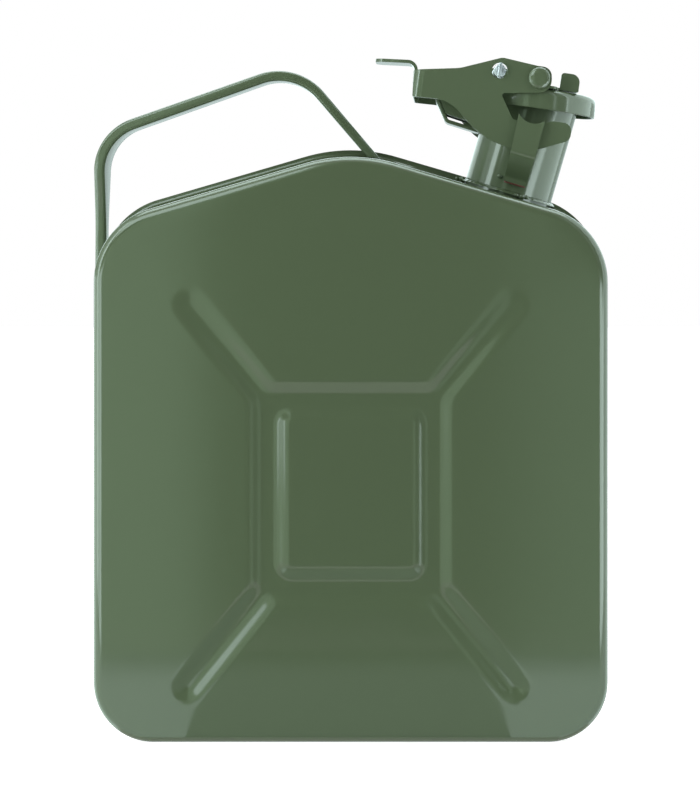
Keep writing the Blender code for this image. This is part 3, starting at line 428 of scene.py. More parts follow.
def dress(thing, body, *replaced, material=PART_PAINT, slot="olive_enamel"):
    """Gives a piece its body, the nodes that it stands for, and its finish. The slot is not used."""
    thing.data.materials.clear()
    thing.data.materials.append(material)
    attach(thing, body)
    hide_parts(*replaced)
    print("%-16s %6d faces" % (thing.name, len(thing.data.polygons)))
    return thing


# %% [markdown]
# ## The body's outline
# From the front the can is a square with round corners and a low roof. All skins of the body are this
# outline, grown or shrunk. Because every point of it can be seen from the middle of the stamping, a skin
# can be drawn along rays from there, close together where the arms run.

# %% Outline and rays
CENTRE = np.array([0.0, 115.0])
ARM_ANGLES = np.radians([49.7, 130.3, 229.9, 310.1])
HALF_WIDTH = 118.4
HALF_DEPTH = 52.5
BASE_RADIUS = 27.6
EAVES_RADIUS = 35
RIDGE_RADIUS = 75


def house(grow, floor):
    """Corner points of the outline, grown by a distance, with an arc at each corner."""
    half = HALF_WIDTH + grow
    ridge = RIDGE_HEIGHT + grow / math.cos(ROOF)
    eaves = ridge - half * math.tan(ROOF)
    base, side, top = BASE_RADIUS + grow, EAVES_RADIUS + grow, RIDGE_RADIUS + grow
    corners = [(-half, floor, base), (half, floor, base), (half, eaves, side), (0, ridge, top)]
    return rounded(corners + [(-half, eaves, side)], 60)


def ray_angles():
    """Angles all round, 0.42 degrees apart near the four arms and 1.1 degrees elsewhere."""
    fine = np.linspace(0, 2 * math.pi, 20001)
    gap = np.abs((fine[:, None] - ARM_ANGLES + math.pi) % (2 * math.pi) - math.pi).min(1)
    near = 1 / (1 + np.exp((gap - math.radians(9.5)) / math.radians(0.8)))
    density = near / math.radians(0.42) + (1 - near) / math.radians(1.1)
    total = np.concatenate([[0], np.cumsum((density[1:] + density[:-1]) / 2 * np.diff(fine))])
    count = int(total[-1])
    return np.interp(np.linspace(0, total[-1], count, endpoint=False), total, fine)


RAYS = ray_angles()
RAY_WAY = np.stack([np.cos(RAYS), np.sin(RAYS)], 1)


def reach(outline):
    """Distance from the middle to an outline along each ray: the outline is walked in small equal steps,
    and the distance is then interpolated over the angle."""
    ring = np.concatenate([outline, outline[:1]])
    way = np.concatenate([[0], np.cumsum(np.linalg.norm(np.diff(ring, axis=0), axis=1))])
    walk = np.linspace(0, way[-1], 12000, endpoint=False)
    away = np.stack([np.interp(walk, way, ring[:, 0]), np.interp(walk, way, ring[:, 1])], 1) - CENTRE
    angle = np.unwrap(np.arctan2(away[:, 1], away[:, 0]))
    far = np.linalg.norm(away, axis=1)
    if angle[-1] < angle[0]:
        angle, far = angle[::-1], far[::-1]
    angle = np.concatenate([angle - 2 * math.pi, angle, angle + 2 * math.pi])
    return np.interp(RAYS, angle, np.tile(far, 3))


print(len(RAYS), "rays")

# %% [markdown]
# ## The stamping
# A press pushes the sheet in by a millimetre and a half: a square channel round a flat island, and four
# arms with round ends, of which the upper two grow shallower outward. The distance from each channel's
# edge gives the depth, through a ramp with soft shoulders, because sheet steel can't fold sharply.

# %% Depth of the stamping
def box_distance(x, z, half_x, half_z, corner):
    """Distance to a rounded rectangle round the middle, less than zero inside it."""
    qx = np.abs(x) - half_x + corner
    qz = np.abs(z) - half_z + corner
    outside = np.hypot(np.maximum(qx, 0), np.maximum(qz, 0))
    return outside + np.minimum(np.maximum(qx, qz), 0) - corner


def bar_distance(x, z, start, end, half):
    """Distance to a round-ended bar."""
    start, along = np.array(start), np.array(end) - np.array(start)
    t = np.clip(((x - start[0]) * along[0] + (z - start[1]) * along[1]) / (along @ along), 0, 1)
    return np.hypot(x - start[0] - t * along[0], z - start[1] - t * along[1]) - half


def soft_least(a, b, k):
    """The lesser of two distances, with a fillet of about k where they meet."""
    h = np.clip(0.5 + 0.5 * (b - a) / k, 0, 1)
    return b + (a - b) * h - k * h * (1 - h)


def soft_step(t, k):
    """0 below zero and 1 above one, straight between, each bend a parabola of half width k."""

    def lifted(u):
        return np.where(u < -k, 0, np.where(u > k, u, (u + k) ** 2 / (4 * k)))

    return lifted(t) - lifted(t - 1)


CHANNEL_HALF_X, CHANNEL_HALF_Z, CHANNEL_CORNER = 46.5, 51.4, 5.0
ISLAND_HALF_X, ISLAND_HALF_Z, ISLAND_CORNER = 29.6, 34.6, 3.0
ARM_ENDS = [(73.5, 86.5), (-73.5, 86.5), (74.5, -88.5), (-74.5, -88.5)]
ARM_ROOT_X, ARM_ROOT_Z, ARM_HALF_WIDTH, ARM_FILLET = 38.0, 43.0, 7.1, 2.5
STAMP_DEPTH, OUTER_RAMP, INNER_RAMP, SHOULDER = 1.5, 5.4, 4.6, 0.36
FADE_SHARE, FADE_FROM, FADE_LENGTH = 0.55, 62.0, 28.0


def stamping(x, z):
    """Depth of the pressing at each point, from the middle of the island."""
    channel = box_distance(x, z, CHANNEL_HALF_X, CHANNEL_HALF_Z, CHANNEL_CORNER)
    for end_x, end_z in ARM_ENDS:
        root = (math.copysign(ARM_ROOT_X, end_x), math.copysign(ARM_ROOT_Z, end_z))
        arm = bar_distance(x, z, root, (end_x, end_z), ARM_HALF_WIDTH)
        channel = soft_least(channel, arm, ARM_FILLET)
    island = box_distance(x, z, ISLAND_HALF_X, ISLAND_HALF_Z, ISLAND_CORNER)
    fade = 1 - FADE_SHARE * np.clip((z - FADE_FROM) / FADE_LENGTH, 0, 1)
    down = soft_step(-channel / OUTER_RAMP, SHOULDER)
    up = soft_step(island / INNER_RAMP, SHOULDER)
    return STAMP_DEPTH * fade * down * up


print("depth in an arm %.2f mm" % stamping(np.array(60.0), np.array(68.5)))

# %% [markdown]
# ## The two half shells
# One surface goes from the island's middle over the stamping, round the rim, along the side wall and out
# to the seam flange. Solidify then gives it the thickness of the sheet. The neck's hole is cut last.

# %% Build the shells
SHEET = 0.9
NECK_HOLE = 21.7
SEAM_GAP = 0.15
RIM_RADIUS = 4.5
WALL_DRAFT, WALL_DEPTH = 0.4, 49.0
ARCH_START, ARCH_LENGTH, ARCH_RISE = 22.5, 20.0, 5.0
FLANGE_BEND, FLANGE_REACH, FLANGE_FLOOR = 2.0, 3.5, 1.6
BOW_DEPTH, BOW_START, BOW_HALF_HEIGHT = 0.5, 0.35, 140.0


def skin_rows():
    """Stations of a half shell: the shares of a ray inside the channel's edge and from there to the rim,
    then (growth, depth, floor) round the rim, along the wall and out over the flange."""
    inner = [0.0, 0.22, 0.42, 0.54] + np.linspace(0.585, 0.8, 14).tolist() + [0.83]
    inner += np.linspace(0.86, 1.0, 9).tolist()
    outer = np.concatenate([np.linspace(0.02, 0.74, 44), [0.8, 0.87, 0.94, 1.0]])
    rim = np.linspace(0, math.pi / 2, 9)[1:]
    side = []
    for a in rim:
        inset = RIM_RADIUS * (1 - math.sin(a))
        side.append((-inset, RIM_RADIUS * (1 - math.cos(a)), inset))
    for depth in (8.0, 14.0, 22.5, 25.5, 28.5, 32.0, 36.0, 40.0, 44.0, 48.0):
        rise = np.clip((depth - ARCH_START) / ARCH_LENGTH, 0, 1)
        floor = ARCH_RISE * rise * rise * (3 - 2 * rise)
        side.append((WALL_DRAFT * depth / WALL_DEPTH, depth, floor))
    face = HALF_DEPTH - SEAM_GAP - SHEET
    for a in np.linspace(0, math.pi / 2, 5):
        out = FLANGE_BEND * (1 - math.cos(a))
        drop = (ARCH_RISE - FLANGE_FLOOR) * out / (FLANGE_REACH - WALL_DRAFT)
        depth = face - FLANGE_BEND * (1 - math.sin(a))
        side.append((WALL_DRAFT + out, depth, ARCH_RISE - drop))
    side.append((FLANGE_REACH, face, FLANGE_FLOOR))
    return inner, outer, side


def face_bow(x, z):
    """How far the large face falls back from flat, which a real pressing always does toward its rim."""
    edge = np.maximum(np.abs(x) / HALF_WIDTH, np.abs(z) / BOW_HALF_HEIGHT)
    return BOW_DEPTH * np.clip((edge - BOW_START) / (1 - BOW_START), 0, 1) ** 2


def channel_outline():
    """The outer edge of the square channel, in the can's frame."""
    low, high = CENTRE[1] - CHANNEL_HALF_Z, CENTRE[1] + CHANNEL_HALF_Z
    corners = [(-1, low), (1, low), (1, high), (-1, high)]
    return rounded([(side * CHANNEL_HALF_X, z, CHANNEL_CORNER) for side, z in corners])


def half_shell(name, side):
    """One pressing, with its large face toward -Y for side -1 and toward +Y for side 1."""
    inner, outer, walls = skin_rows()
    channel_edge = reach(channel_outline())
    rim_edge = reach(house(-RIM_RADIUS, RIM_RADIUS))
    rows = [channel_edge * share for share in inner]
    rows += [channel_edge + (rim_edge - channel_edge) * share for share in outer]
    flat = np.array(rows)[..., None] * RAY_WAY
    x, z = flat[..., 0], flat[..., 1]
    bow = face_bow(x, z)
    y = -HALF_DEPTH + stamping(x, z) + bow
    points = [np.stack([x, y, z + CENTRE[1]], -1)]
    for grow, depth, floor in walls:
        away = reach(house(grow, floor))[:, None] * RAY_WAY
        sink = bow[-1] * np.clip(1 - depth / RIM_RADIUS, 0, 1)
        y = -HALF_DEPTH + depth + sink
        points.append(np.stack([away[:, 0], y, away[:, 1] + CENTRE[1]], -1)[None])
    rings = np.concatenate(points)
    rings[..., 1] *= -side
    shell = outward(put_mesh(name, to_world(rings, CAN), grid_faces(*rings.shape[:2])))
    push = shell.data.polygons[len(shell.data.polygons) // 2].normal.y * side
    solid = shell.modifiers.new("sheet", "SOLIDIFY")
    solid.thickness = SHEET * MM
    solid.offset = -1.0 if push >= 0 else 1.0
    solid.use_even_offset = False
    hole = [(0, 60), (NECK_HOLE, 60), (NECK_HOLE, -30), (0, -30)]
    cut(shell, turned(name + "_hole", hole, NECK))
    return sharp(shell, 38)


for shell_name, side in (("front_shell", -1), ("rear_shell", 1)):
    shell = half_shell("can_" + shell_name, side)
    dress(shell, "can_body", shell_name, material=BODY_PAINT)

# %% [markdown]
# ## The strap handle
# The handle is a strip folded to a flat box, wide on the grip and drawn in toward both feet, where it
# straddles the seam flange. Its section is carried along a bent line and stays square to it.

# %% Handle
GRIP_WIDTH, GRIP_DEPTH, HANDLE_WALL, HANDLE_RADIUS = 26.0, 5.2, 1.2, 1.4
LEG_SHARE, LEG_TOP = 0.44, 272.0
FOOT_SHARE, FOOT_TOP = 0.55, 315.7
NARROW_BELOW = 232.0
THINNING = 0.22
CROWN = (-26.4, 313.1, 26.4)
HANDLE_CORNERS = [(-121.6, 205, 0), (-121.0, 279.7, 24.5), CROWN, (22.1, 256.3, 0)]


def handle_width(x, z):
    """Full on the grip. It falls to one share down the leg and to another at the short foot."""
    far = x > CROWN[0]
    foot, top = np.where(far, FOOT_SHARE, LEG_SHARE), np.where(far, FOOT_TOP, LEG_TOP)
    share = np.clip((z - NARROW_BELOW) / (top - NARROW_BELOW), 0, 1)
    share = share * share * (3 - 2 * share)
    return GRIP_WIDTH * (foot + (1 - foot) * share)


def handle_rings(line, wall):
    """A rounded rectangle at each station, its first side across the can and its second away from it."""
    normal = -normals_of(line, closed=False)
    length = np.concatenate([[0], np.cumsum(np.linalg.norm(np.diff(line, axis=0), axis=1))])
    deep = GRIP_DEPTH * (1 - THINNING * np.clip(length / length[-1] * 2 - 1, 0, 1))
    radius = HANDLE_RADIUS - wall
    rings = []
    for point, away, depth in zip(line, normal, deep):
        half, low = handle_width(*point) / 2 - wall, depth / 2 - wall
        corners = [(-half, -low), (half, -low), (half, low), (-half, low)]
        across, out = rounded([(*corner, radius) for corner in corners], 6).T
        rings.append(np.stack([point[0] + away[0] * out, across, point[1] + away[1] * out], 1))
    return np.array(rings)


def make_handle():
    """The box section carried along the bent line, hollow, and notched over body and flange."""
    line = open_path(HANDLE_CORNERS, 28)
    leg = line[0] + (line[1] - line[0]) * np.linspace(0, 1, 24)[:-1, None]
    line = np.concatenate([leg, line[1:]])
    handle = loft("can_handle", handle_rings(line, 0.0), CAN)
    inside = line.copy()
    inside[0] += (line[0] - line[1]) * 0.6
    inside[-1] += (line[-1] - line[-2]) / np.linalg.norm(line[-1] - line[-2]) * 2
    hollow = loft("t_hollow", handle_rings(inside, HANDLE_WALL), CAN)
    body = plate("t_body", house(0.7, ARCH_RISE), -30, 30, CAN, edge=0.01, steps=3)
    flange = plate("t_flange", house(3.8, FLANGE_FLOOR), -1.45, 1.45, CAN, edge=0.01, steps=3)
    root = plate("t_root", house(1.9, ARCH_RISE), -2.55, 2.55, CAN, edge=0.01, steps=3)
    return sharp(cut(handle, hollow, body, flange, root), 45)


dress(make_handle(), "can_body", "handle")

# %% [markdown]
# ## Neck, weld and sealing lip
# The neck is a drawn tube, cut off square to the lid and not to itself. A ring of weld joins it to the
# roof. Its lip is a thicker ring that the gasket presses on.

# %% Neck
NECK_RADIUS, NECK_BORE = 21.5, 20.0


def make_neck():
    """A tube through the roof, cut off square to the lid."""
    walls = [(NECK_RADIUS, 62), (NECK_RADIUS, -5), (NECK_BORE, -5), (NECK_BORE, 62)]
    tube = turned("can_neck", walls, NECK, count=128)
    top = turned("t_top", [(0, 60), (60, 60), (60, -0.9), (0, -0.9)], LID, count=24)
    return sharp(cut(tube, top), 40)


def weld_bead(name, radius, section, place, count=240, lumps=46, rise=0.25):
    """A ring of weld: its section swells and shrinks along the way like a row of overlapping drops."""
    t = np.linspace(0, 2 * math.pi, count, endpoint=False)
    drop = np.abs(np.sin(t * lumps / 2)) * rise + 0.08 * np.sin(t * 7 + 1) + 0.06 * np.sin(t * 13)
    section = np.asarray(section, float)
    rings = np.zeros((count, len(section), 3))
    grow = 1 + drop[:, None] * 0.35 - 0.1
    out = radius + section[None, :, 0] * grow
    rings[..., 0] = out * np.cos(t)[:, None]
    rings[..., 1] = out * np.sin(t)[:, None]
    rings[..., 2] = section[None, :, 1] * np.where(section[None, :, 1] > 1.6, grow, 1)
    return loft(name, rings, place, wrap=True)


dress(make_neck(), "can_body", "neck_tube")
BEAD = [(0.0, 3.0), (0.7, 2.8), (1.4, 2.3), (2.0, 1.8), (2.3, 1.4), (0.0, 1.4)]
WELD_DROPS = [(-6.6, -20.6, 8.2, 1.4), (6.0, -22.4, 1.9, 1.5), (8.2, -21.7, 2.0, 1.2)]
WELD_DROPS += [(3.2, -23.1, 1.8, 1.1), (-23.6, -1.5, 2.2, 1.7), (-25.6, -2.0, 1.8, 1.3)]
WELD_DROPS.append((-22.9, -3.8, 2.4, 1.2))
collar = weld_bead("can_neck_weld", 21.8, BEAD, NECK)
half_turn = np.radians(np.linspace(-90, 90, 13))
for x, y, z, radius in WELD_DROPS:
    ball = [(max(radius * math.cos(a), 0.0), z + radius * 0.8 * math.sin(a)) for a in half_turn]
    cut(collar, turned("t_drop", ball, NECK, (x, y), 24), how="UNION")
dress(collar, "can_body", "neck_collar")
bead = [(24.9, 1.6), (25.35, 1.4), (25.5, 1.0), (25.5, 0.0), (25.1, -0.5), (24.7, -0.6)]
bead += [(20.0, -0.6), (20.0, 1.0), (20.3, 1.45), (20.8, 1.6)]
lip = turned("can_neck_lip", bead, LID, count=128)
dress(lip, "can_body", "neck_lip", material=STEEL, slot="bare_steel")
down = open_path([(-16.1, 41, 0), (-16.1, -13, 12), (-50.1, -18, 0)], 12)
air = np.stack([down[:, 0], np.zeros(len(down)), down[:, 1]], 1)
AIR_RADIUS, AIR_BORE = 3.6, 2.8
breather = rod("can_breather", air, AIR_RADIUS, NECK)
bore = air.copy()
bore[0] += (air[0] - air[1]) * 0.1
bore[-1] += (air[-1] - air[-2]) * 0.1
breather = cut(breather, rod("t_bore", bore, AIR_BORE, NECK))
dress(breather, "can_body", "breather_tube", material=STEEL, slot="bare_steel")

# %% [markdown]
# ## Lid, gasket and rivet
# The lid is a shallow drawn cup. Under it a rubber ring is held by a dished plate, and one rivet goes
# through the plate, the cup and the bridge.

# %% Lid
def quarter(cx, cz, radius, start, end, steps=6):
    """Points of an arc between two angles in degrees."""
    a = np.radians(np.linspace(start, end, steps + 1))
    return list(zip(cx + radius * np.cos(a), cz + radius * np.sin(a)))


cup = quarter(27, 3.5, 3.0, 90, 0) + [(30, -3.0), (29.7, -3.3), (29.1, -3.3), (28.8, -3.0)]
cup += quarter(27, 3.5, 1.8, 0, 90, 5) + [(2.8, 5.3), (2.8, 6.5)]
lid = turned("can_lid", cup, LID, count=160)
dress(lid, "lid_body", "cap_shell")
seal = [(27.6, 5.0), (28.3, 4.4), (28.3, 2.5), (27.7, 1.9), (18.5, 1.9), (18.5, 5.0)]
gasket = turned("can_gasket", seal, LID)
dress(gasket, "lid_body", "cap_gasket", material=RUBBER, slot="gasket_rubber")
dish = [(18.2, 5.0), (18.2, 1.6), (19.5, 1.6), (19.5, 0.7), (19.2, 0.6), (17.7, 0.6), (17.2, 0.9)]
dish += [(17.2, 4.0), (2.8, 4.0), (2.8, 5.0)]
retainer = turned("can_retainer", dish, LID)
dress(retainer, "lid_body", "gasket_retainer", material=STEEL, slot="bare_steel")
dome = [(0, 9.6), (1.2, 9.57), (2.5, 9.4), (3.6, 9.0), (4.3, 8.5), (4.5, 8.3), (2.5, 8.3)]
dome += [(2.5, 3.7), (3.6, 3.7), (3.3, 3.0), (2.4, 2.75), (0, 2.7)]
rivet = turned("can_lid_rivet", dome, LID, count=48)
dress(rivet, "lid_body", "cap_rivet")

# %% [markdown]
# ## The bridge
# One stamping carries everything that moves: a flat cross riveted to the lid, ears for the hinge pin,
# ears for the lever's rivets, and an upright tab that the finger pushes against.

# %% Bridge
def place_of(joint, place):
    """Where a joint's axis crosses a frame's XZ plane, from the joint's own world position."""
    local = (np.array(joints[joint]["pos_m"]) / MM - place[0]) @ place[1]
    return np.array([local[0], local[2]])


HINGE = place_of("cap_hinge", LID)
LEVER = place_of("lever_pivot", LID)
print("in the lid's frame: hinge", HINGE.round(2), "lever pivot", LEVER.round(2))


BRIDGE_TOP, BRIDGE_FOOT, EAR_FOOT = 8.0, 6.8, 7.1
HINGE_EAR_OUT, HINGE_EAR_SHEET, HINGE_EAR_RADIUS = 14.0, 1.7, 6.2
LEVER_EAR_OUT, LEVER_EAR_SHEET, LEVER_EAR_RADIUS, LEVER_EAR_TOP = 30.1, 1.5, 5.8, 16.5
TAB_FRONT, TAB_SHEET = -24.5, 1.5
EAR_INSET = 0.3
PIVOT_HOLE, HINGE_HOLE, RIVET_HOLE = 2.8, 2.7, 2.8


def lever_ear():
    """An upright ear, round over the lever's pivot."""
    r = LEVER_EAR_RADIUS
    left, right = LEVER[0] - r, LEVER[0] + r
    foot = [(left, EAR_FOOT, 0), (right, EAR_FOOT, 0)]
    return rounded(foot + [(right, LEVER_EAR_TOP, r), (left, LEVER_EAR_TOP, r)], 14)


def hinge_ear():
    """An ear that hangs round the hinge pin, with a heel under the lid."""
    r, top = HINGE_EAR_RADIUS, 8.07 - HINGE[1]
    corners = [(10.4, top, 0), (-r * 0.15, top, r * 0.6), (-r, r * 0.4, r * 0.6)]
    corners += [(-r, -r * 0.5, r * 0.5), (-r * 0.15, -12.1, 1.2), (10.2, -14.2, 1.2)]
    return rounded(corners + [(10.4, -7.5, 1.2)], 8) + HINGE


def make_bridge():
    """The flat cross, its four ears and its tab in one, with holes for both pins and the rivet."""
    arm, far = HINGE_EAR_OUT - EAR_INSET, LEVER_EAR_OUT - EAR_INSET
    flat = [(HINGE[0], -arm, 0), (-9.5, -arm, 2.4), (-9.5, -far, 2.4), (8.5, -far, 2.4)]
    flat += [(8.5, -24.2, 1.5), (18.7, -24.2, 1.2), (18.7, -8.0, 2.4), (8.5, -8.0, 2.4)]
    flat += [(8.5, far, 2.4), (-9.5, far, 2.4), (-9.5, arm, 2.4), (HINGE[0], arm, 0)]
    bridge = plate("can_bridge", rounded(flat, 6), BRIDGE_FOOT, BRIDGE_TOP, LID, plane="XY")
    foot = [(10.0, EAR_FOOT, 0), (19.0, EAR_FOOT, 0)]
    tab = rounded(foot + [(19.0, 15.3, 4.5), (10.0, 15.3, 1.5)], 10)
    ears = [(lever_ear(), LEVER_EAR_OUT, LEVER_EAR_SHEET)]
    ears.append((hinge_ear(), HINGE_EAR_OUT, HINGE_EAR_SHEET))
    pieces = []
    for side in (-1, 1):
        for outline, out, sheet in ears:
            low, high = sorted((side * out, side * (out - sheet)))
            pieces.append(plate("t_ear", outline, low, high, LID))
    pieces.append(plate("t_tab", tab, TAB_FRONT, TAB_FRONT + TAB_SHEET, LID))
    cut(bridge, *pieces, how="UNION")
    rivet = turned("t_rivet", [(0, 20), (RIVET_HOLE, 20), (RIVET_HOLE, 0), (0, 0)], LID, count=32)
    cut(bridge, drill(PIVOT_HOLE, LID, LEVER), drill(HINGE_HOLE, LID, HINGE), rivet)
    return ease_edges(sharp(bridge, 30), 0.35)


dress(make_bridge(), "lid_body", "cap_bridge")

# %% [markdown]
# ## Hinge bracket and pin
# A strap welded to the neck runs out under the lid, turns up, and is rolled right round the pin.

# %% Hinge
HINGE_NECK = place_of("cap_hinge", NECK)
GAP = 0.3
HINGE_PIN_RADIUS, BRACKET_SHEET, BRACKET_HALF = 2.4, 1.7, 12


def make_bracket():
    """The strap from the neck, rolled round the hinge pin with a small gap."""
    eye = HINGE_PIN_RADIUS + GAP + BRACKET_SHEET / 2
    run = open_path([(18.6, -15.5, 0), (2.2, -15.1, 2.6), (-6.5, -4.9, 4.0), (-eye, 0.3, 0)])
    a = np.radians(np.linspace(170, -70, 28))
    roll = np.stack([eye * np.cos(a), eye * np.sin(a)], 1)
    outline = strip(np.concatenate([run[:-1], roll]), BRACKET_SHEET) + HINGE_NECK
    half = BRACKET_HALF
    strap = plate("can_hinge_bracket", outline, -half, half, NECK, edge=0.25, steps=3)
    return ease_edges(strap, 0.1)


dress(make_bracket(), "can_body", "hinge_bracket")
far = BRACKET_HALF + GAP + HINGE_EAR_SHEET + GAP
end = far + 1.4
stud = [(0, end), (2.6, end), (3.4, end - 0.25), (3.8, end - 0.7), (3.8, far)]
stud.append((HINGE_PIN_RADIUS, far))
stud += [(r, -h) for r, h in stud[::-1]]
pin = turned("can_hinge_pin", stud, NECK, HINGE_NECK, 48, "Y")
dress(pin, "can_body", "hinge_pin")

# %% [markdown]
# ## Latch lugs
# Two strips stand on the neck. Each leans out past the lever's plate, stands straight, and ends in a
# hollow. A thin line of primer shows at the foot of the front one.

# %% Lugs
LEVER_HALF, LEVER_SHEET = 32.3, 1.8
LUG_SHEET, LUG_TOP = 2.0, 38.8
LUG_HOLLOW_RADIUS, LUG_HOLLOW_DEPTH = 8.4, 2.9
LUG_FRONT = [(-4.35, 6.5), (6.55, 6.5), (6.1, 39.1), (-6.7, 39.1)]


def make_lug(name, side):
    """A cranked strip beside the lever's plate, trimmed to its tapered front and hollowed on top."""
    stand = LEVER_HALF + GAP + LUG_SHEET / 2
    foot = NECK_RADIUS + GAP + LUG_SHEET / 2
    line = open_path([(foot, 6.8, 0), (foot, 9.5, 3), (stand, 20.8, 3), (stand, LUG_TOP, 0)])
    outline = strip(line, LUG_SHEET)
    outline[:, 0] *= side
    lug = plate(name, outline, -12, 12, NECK, plane="YZ")
    front = plate("t_front", np.array(LUG_FRONT), -CUT_REACH, CUT_REACH, NECK)
    cut(lug, front, how="INTERSECT")
    middle = LUG_TOP - LUG_HOLLOW_DEPTH + LUG_HOLLOW_RADIUS
    cut(lug, drill(LUG_HOLLOW_RADIUS, NECK, (-0.3, middle), 64))
    return ease_edges(sharp(lug, 30), 0.8, 1)


for lug_name, side in (("lug_front", -1), ("lug_rear", 1)):
    dress(make_lug("can_" + lug_name, side), "can_body", lug_name)

primer, tree, shader, place = finish("red oxide primer")
feed(tree, shader, Base_Color=linear("#6e3a33"), Roughness=0.5)
lug_foot = np.array([[x, -22.9 - 0.06 * abs(x), 6.45] for x in np.linspace(-4.0, 6.2, 12)])
primer_line = rod("lug_primer_line", lug_foot, 0.4, NECK, 12)
dress(primer_line, "can_body", material=primer)

# %% [markdown]
# ## The cam lever
# A sheet folded to a U: two cam plates joined by a web, with a thumb tab bent out of the web's top. The
# outline comes from corners with radii, so that the nose, the throat and the jaw keep their round forms.

# %% Lever
PIN = LEVER + np.array([-18.9, 0.9])
LEVER_CORNERS = [(-59.2, -4.0, 0.6), (-37.5, -0.3, 20.0), (-18.4, 7.3, 6.0), (5.9, 4.9, 5.8)]
LEVER_CORNERS += [(5.9, -6.0, 5.6), (-16.9, -9.4, 1.2), (-9.8, -20.9, 2.0), (3.5, -21.6, 6.0)]
LEVER_CORNERS += [(8.5, -19.2, 8.0), (18.1, -19.2, 5.5), (18.3, -27.1, 4.0), (-2.0, -36.0, 28.0)]
LEVER_CORNERS += [(-23.1, -31.5, 38.0), (-40.4, -16.0, 18.0), (-58.0, -16.6, 0.6)]
LEVER_BEND = 5.6
THUMB_SHEET, THUMB_LENGTH, THUMB_RISE = 1.6, 20.3, 5.3
PIN_RADIUS, PIN_HOLE = 3.0, 3.7
RING_MIDDLE, RING_WIRE, EYE_PLACE, EYE_RADIUS = 9.0, 0.9, 39.2, 1.7


def tongue(left, right, half, radius, steps):
    """A long outline across the can with two round corners at its left end."""
    corners = [(left, -half, radius), (right, -half, 0), (right, half, 0), (left, half, radius)]
    return rounded(corners, steps)


def make_lever():
    """A block with the plates' outline, hollowed to a U of sheet, plus the thumb tab and two holes."""
    outline = rounded(LEVER_CORNERS, 12) + LEVER
    lever = plate("can_cam_lever", outline, -LEVER_HALF, LEVER_HALF, LID)
    web, web_top = LEVER + np.array(LEVER_CORNERS[0][:2])
    rim = tongue(web, 60, LEVER_HALF, LEVER_BEND, 14)
    core = tongue(web + LEVER_SHEET, 62, LEVER_HALF - LEVER_SHEET, LEVER_BEND - LEVER_SHEET, 14)
    cut(lever, plate("t_rim", rim, -CUT_REACH, CUT_REACH, LID, plane="XY"), how="INTERSECT")
    cut(lever, plate("t_core", core, -90, 90, LID, plane="XY"))
    x, low, high = web + LEVER_SHEET / 2, web_top - THUMB_RISE, web_top + THUMB_RISE
    line = open_path([(x, low, 0), (x, high, 4.2), (x - THUMB_LENGTH, high - 1.8, 0)], 14)
    thumb = plate("t_thumb", strip(line, THUMB_SHEET), -11, 11, LID)
    shape = tongue(x - THUMB_LENGTH - 0.3, x + 60, 11.3, 6, 12)
    shape = plate("t_shape", shape, -CUT_REACH, CUT_REACH, LID, plane="XY")
    cut(thumb, shape, how="INTERSECT")
    cut(lever, thumb, how="UNION")
    cut(lever, drill(PIVOT_HOLE, LID, LEVER), drill(PIN_HOLE, LID, PIN, 40))
    return ease_edges(sharp(lever, 30), 0.3)


dress(make_lever(), "lever_body", "cam_lever")

head = [(0, 1.9), (2.0, 1.86), (3.4, 1.7), (4.3, 1.4), (4.9, 0.95), (5.1, 0.5), (5.1, 0)]
head += [(2.5, 0), (2.5, -4.1), (0, -4.1)]
for label, side in (("front", -1), ("rear", 1)):
    profile = [(r, side * (LEVER_HALF + GAP + h)) for r, h in head]
    rivet = turned("can_lever_rivet_" + label, profile, LID, LEVER, 64, "Y")
    dress(rivet, "lever_body", "lever_rivet_" + label)

# %% [markdown]
# ## Safety pin and ring
# The pin is a cut length of wire. Its front end is staked, so two small nibs stand out, and a ring
# hangs in an eye through its rear end.

# %% Pin and ring
def make_pin():
    """A round wire with a chamfered rear, a staked front and an eye for the ring."""
    front, rear = -LEVER_HALF - 1.8, LEVER_HALF + 10.5
    profile = [(0, rear), (2.2, rear), (2.8, rear - 0.25), (PIN_RADIUS, rear - 0.8)]
    profile += [(PIN_RADIUS, front + 0.5), (2.85, front + 0.1), (2.5, front), (0, front)]
    pin = turned("can_safety_pin", profile, LID, PIN, 48, "Y")
    nib = [(side * 0.8, end * 3.6, 0.5) for side, end in ((-1, -1), (1, -1), (1, 1), (-1, 1))]
    nib = plate("t_nib", rounded(nib, 4) + PIN, front - 0.4, front + 0.6, LID, 0.15, steps=3)
    cut(pin, nib, how="UNION")
    t = np.linspace(0, 2 * math.pi, 32, endpoint=False)
    eye = np.zeros((2, 32, 3))
    eye[..., 0] = PIN[0] + np.array([[20], [-20]])
    eye[..., 1] = EYE_PLACE + EYE_RADIUS * np.cos(t)
    eye[..., 2] = PIN[1] + EYE_RADIUS * np.sin(t)
    cut(pin, loft("t_eye", eye, LID))
    return sharp(pin)


dress(make_pin(), "pin_body", "safety_pin", material=ZINC, slot="zinc_plate")
t = np.linspace(0, 2 * math.pi, 96, endpoint=False)
u = np.linspace(0, 2 * math.pi, 16, endpoint=False)
wide = RING_MIDDLE + RING_WIRE * np.cos(u)[None]
ring_x = wide * np.sin(t)[:, None] + PIN[0]
ring_y = np.tile(RING_WIRE * np.sin(u)[None], (len(t), 1)) + EYE_PLACE
ring_z = wide * np.cos(t)[:, None] - RING_MIDDLE + PIN[1]
ring = loft("can_pin_ring", np.stack([ring_x, ring_y, ring_z], -1), LID, wrap=True)
dress(ring, "ring_body", "pin_ring", material=ZINC, slot="zinc_plate")

